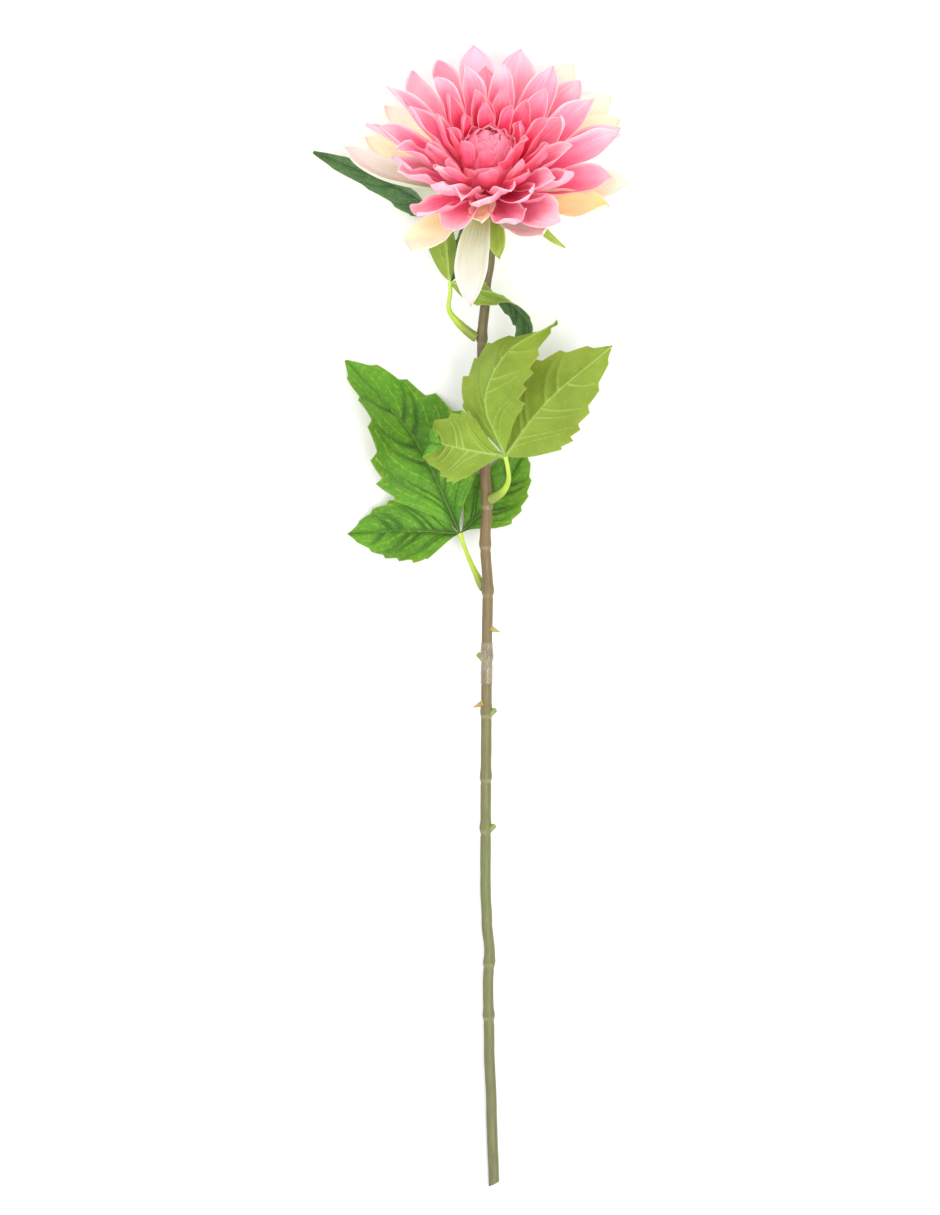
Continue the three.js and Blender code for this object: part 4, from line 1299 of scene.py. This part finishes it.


# Each groove colour is painted shade for the hollows beside the veins.
LEAF_GREEN = leaf_fabric(
    "leaf fabric", top="3d7a16", top_light="569322", groove="1d4016", net="93bb34", back="738e27",
    back_light="84a032", back_vein="a6c067",
)
DARK_LEAF_GREEN = leaf_fabric(
    "dark leaf fabric", top="2f5a30", top_light="446f3a", groove="203b28", net="76984f", back="769638",
    back_light="90ab44", back_vein="bccf78",
)


def plain_skin(name, low, high, roughness, **sockets):
    p = Paint(name)
    patches = p.noise(p.place(), 220.0, 4.0, 0.6)
    p.bump(patches, 0.2, 0.0004)
    return p.finish(p.ramp(patches, (0.3, low), (0.7, high)), roughness, **sockets)


BRACT_GREEN = petal_fabric(
    "bract fabric", heart="5f8a34", middle="6f9c3c", outside="84ac48", tip="a4c062", edge="b7cf7a",
    blush="c9d98e", under="a9c268", vein="5f8a34",
)
STALK_GREEN = plain_skin(
    "stalk green plastic", "728a44", "8ca05a", 0.5, Subsurface_Weight=0.1, Subsurface_Scale=0.002,
)


def petiole_skin():
    """Leaf-stalk plastic: olive at the thick foot and yellow-green above."""
    p = Paint("petiole green plastic")
    patches = p.noise(p.place(), 220.0, 4.0, 0.6)
    reach = p.plus(p.value("along"), p.swing(patches, 0.25))
    p.bump(patches, 0.2, 0.0004)
    colour = p.ramp(reach, (0.1, "87983f"), (0.45, "adc63c"), (1.0, "bfd450"))
    return p.finish(colour, 0.42, Subsurface_Weight=0.2, Subsurface_Scale=0.002)


PETIOLE_GREEN = petiole_skin()


def knob_paint():
    """Green below, deep pink where the petals grow."""
    p = Paint("knob paint")
    patches = p.noise(p.place(), 260.0, 4.0)
    height = p.plus(p.value("along"), p.swing(patches, 0.2))
    p.bump(patches, 0.3, 0.0005)
    colour = p.ramp(height, (0.1, "7f9d45"), (0.42, "98ad58"), (0.56, "c4305a"), (1.0, "e0406a"))
    return p.finish(colour, 0.6)


KNOB_PAINT = knob_paint()
THORN_TAN = plain_skin("thorn tan plastic", "a08648", "bba566", 0.5)


def stem_bark():
    """Moulded stem plastic: olive near the flower, brown in the middle and green lower down, with
    purple-brown painted shade on its left side.
    """
    p = Paint("stem plastic")
    spot = p.place()
    split = p.node("ShaderNodeSeparateXYZ")
    p.set(split.inputs[0], spot)
    cloudy = p.noise(spot, 28.0, 3.0)
    down = p.plus(p.math("DIVIDE", split.outputs[1], 0.64), 0.5)
    down = p.plus(down, p.swing(cloudy, 0.1))
    colour = p.ramp(
        down, (0.0, "6a6c42"), (0.3, "6d7540"), (0.4, "727040"), (0.47, "76663e"), (0.62, "79603a"),
        (0.74, "6f6236"), (0.88, "4c472c"),
    )
    drawn_out = p.vector(split.outputs[0], p.times(split.outputs[1], 0.12), split.outputs[2])
    streaks = p.noise(drawn_out, 700.0, 4.0, 0.65)
    colour = p.mix(p.times(p.step(streaks, 0.45, 0.75), 0.35), colour, "5c4c3a")
    colour = p.mix(p.times(p.step(streaks, 0.55, 0.3), 0.22), colour, "8f9062")
    # Painted shade: faces turned towards -X get a purple-brown tint, as if shaded from a light on the right.
    facing = p.node("ShaderNodeSeparateXYZ")
    p.set(facing.inputs[0], p.node("ShaderNodeNewGeometry").outputs["Normal"])
    left = p.step(p.times(facing.outputs[0], -1.0), 0.35, 1.0)
    colour = p.mix(p.times(left, 0.45), colour, "5a443c")
    colour = p.mix(p.times(p.value("joint"), p.step(streaks, 0.35, 0.6)), colour, "9a9670")
    p.bump(streaks, 0.4, 0.0005)
    return p.finish(colour, 0.48, Subsurface_Weight=0.05, Subsurface_Scale=0.002)


def clear_tape():
    p = Paint("clear tape")
    marks = p.noise(p.place(), 160.0, 3.0)
    p.bump(marks, 0.25, 0.0004)
    colour = p.ramp(marks, (0.3, "a2967a"), (0.7, "c4baa0"))
    return p.finish(colour, 0.12, Alpha=0.3, Coat_Weight=0.5, Coat_Roughness=0.05)


STEM_BARK = stem_bark()
CLEAR_TAPE = clear_tape()

build_head()
build_receptacle()
build_stem()
build_tape()
for number, (leaf, material) in enumerate(zip(LEAVES, (DARK_LEAF_GREEN, LEAF_GREEN, LEAF_GREEN))):
    build_leaf(leaf, material, salt=2.3 * number + 0.4)

# ---- Stage ----


def area_light(name, spot, target, size, power):
    data = bpy.data.lights.new(name, "AREA")
    data.shape, data.size, data.energy = "DISK", size, power
    lamp = bpy.data.objects.new(name, data)
    bpy.context.scene.collection.objects.link(lamp)
    lamp.location = spot
    lamp.rotation_euler = (Vector(target) - Vector(spot)).to_track_quat("-Z", "Y").to_euler()


FLOOR_SIDE = 6.0
SEEN_HEIGHT = 0.68
CAMERA_OVER = (-10.6, -240.8)


def build_stage():
    scene = bpy.context.scene
    scene.view_settings.view_transform = "Standard"
    world = bpy.data.worlds.new("studio")
    world.use_nodes = True
    sky = world.node_tree.nodes["Background"]
    sky.inputs["Color"].default_value, sky.inputs["Strength"].default_value = (1, 1, 1, 1), 0.95
    scene.world = world
    paper = Paint("pale studio floor")
    grain = paper.noise(paper.place(), 90.0, 2.0)
    paper.finish(paper.ramp(grain, (0.0, "fbfbfa"), (1.0, "ffffff")), 0.9)
    mesh = bpy.data.meshes.new("floor")
    corners = [(x * FLOOR_SIDE, y * FLOOR_SIDE, 0) for x, y in ((-1, -1), (1, -1), (1, 1), (-1, 1))]
    mesh.from_pydata(corners, [], [(0, 1, 2, 3)])
    mesh.materials.append(paper.material)
    floor = bpy.data.objects.new("floor", mesh)
    scene.collection.objects.link(floor)
    area_light("key", (0.8, -0.5, 2.4), (0, 0.1, 0), 1.6, 34)
    area_light("fill", (-1.3, 0.7, 2.1), (0, 0.1, 0), 2.0, 18)

    lens = bpy.data.cameras.new("camera")
    lens.sensor_fit, lens.sensor_height, lens.lens = "VERTICAL", 36.0, 300.0
    lens.clip_start, lens.clip_end = 0.1, 20.0
    camera = bpy.data.objects.new("camera", lens)
    scene.collection.objects.link(camera)
    x, y = (HEAD_CENTRE[k] + CAMERA_OVER[k] * MM for k in range(2))
    camera.location = (x, y, SEEN_HEIGHT / lens.sensor_height * lens.lens + 0.02)
    scene.camera = camera


build_stage()
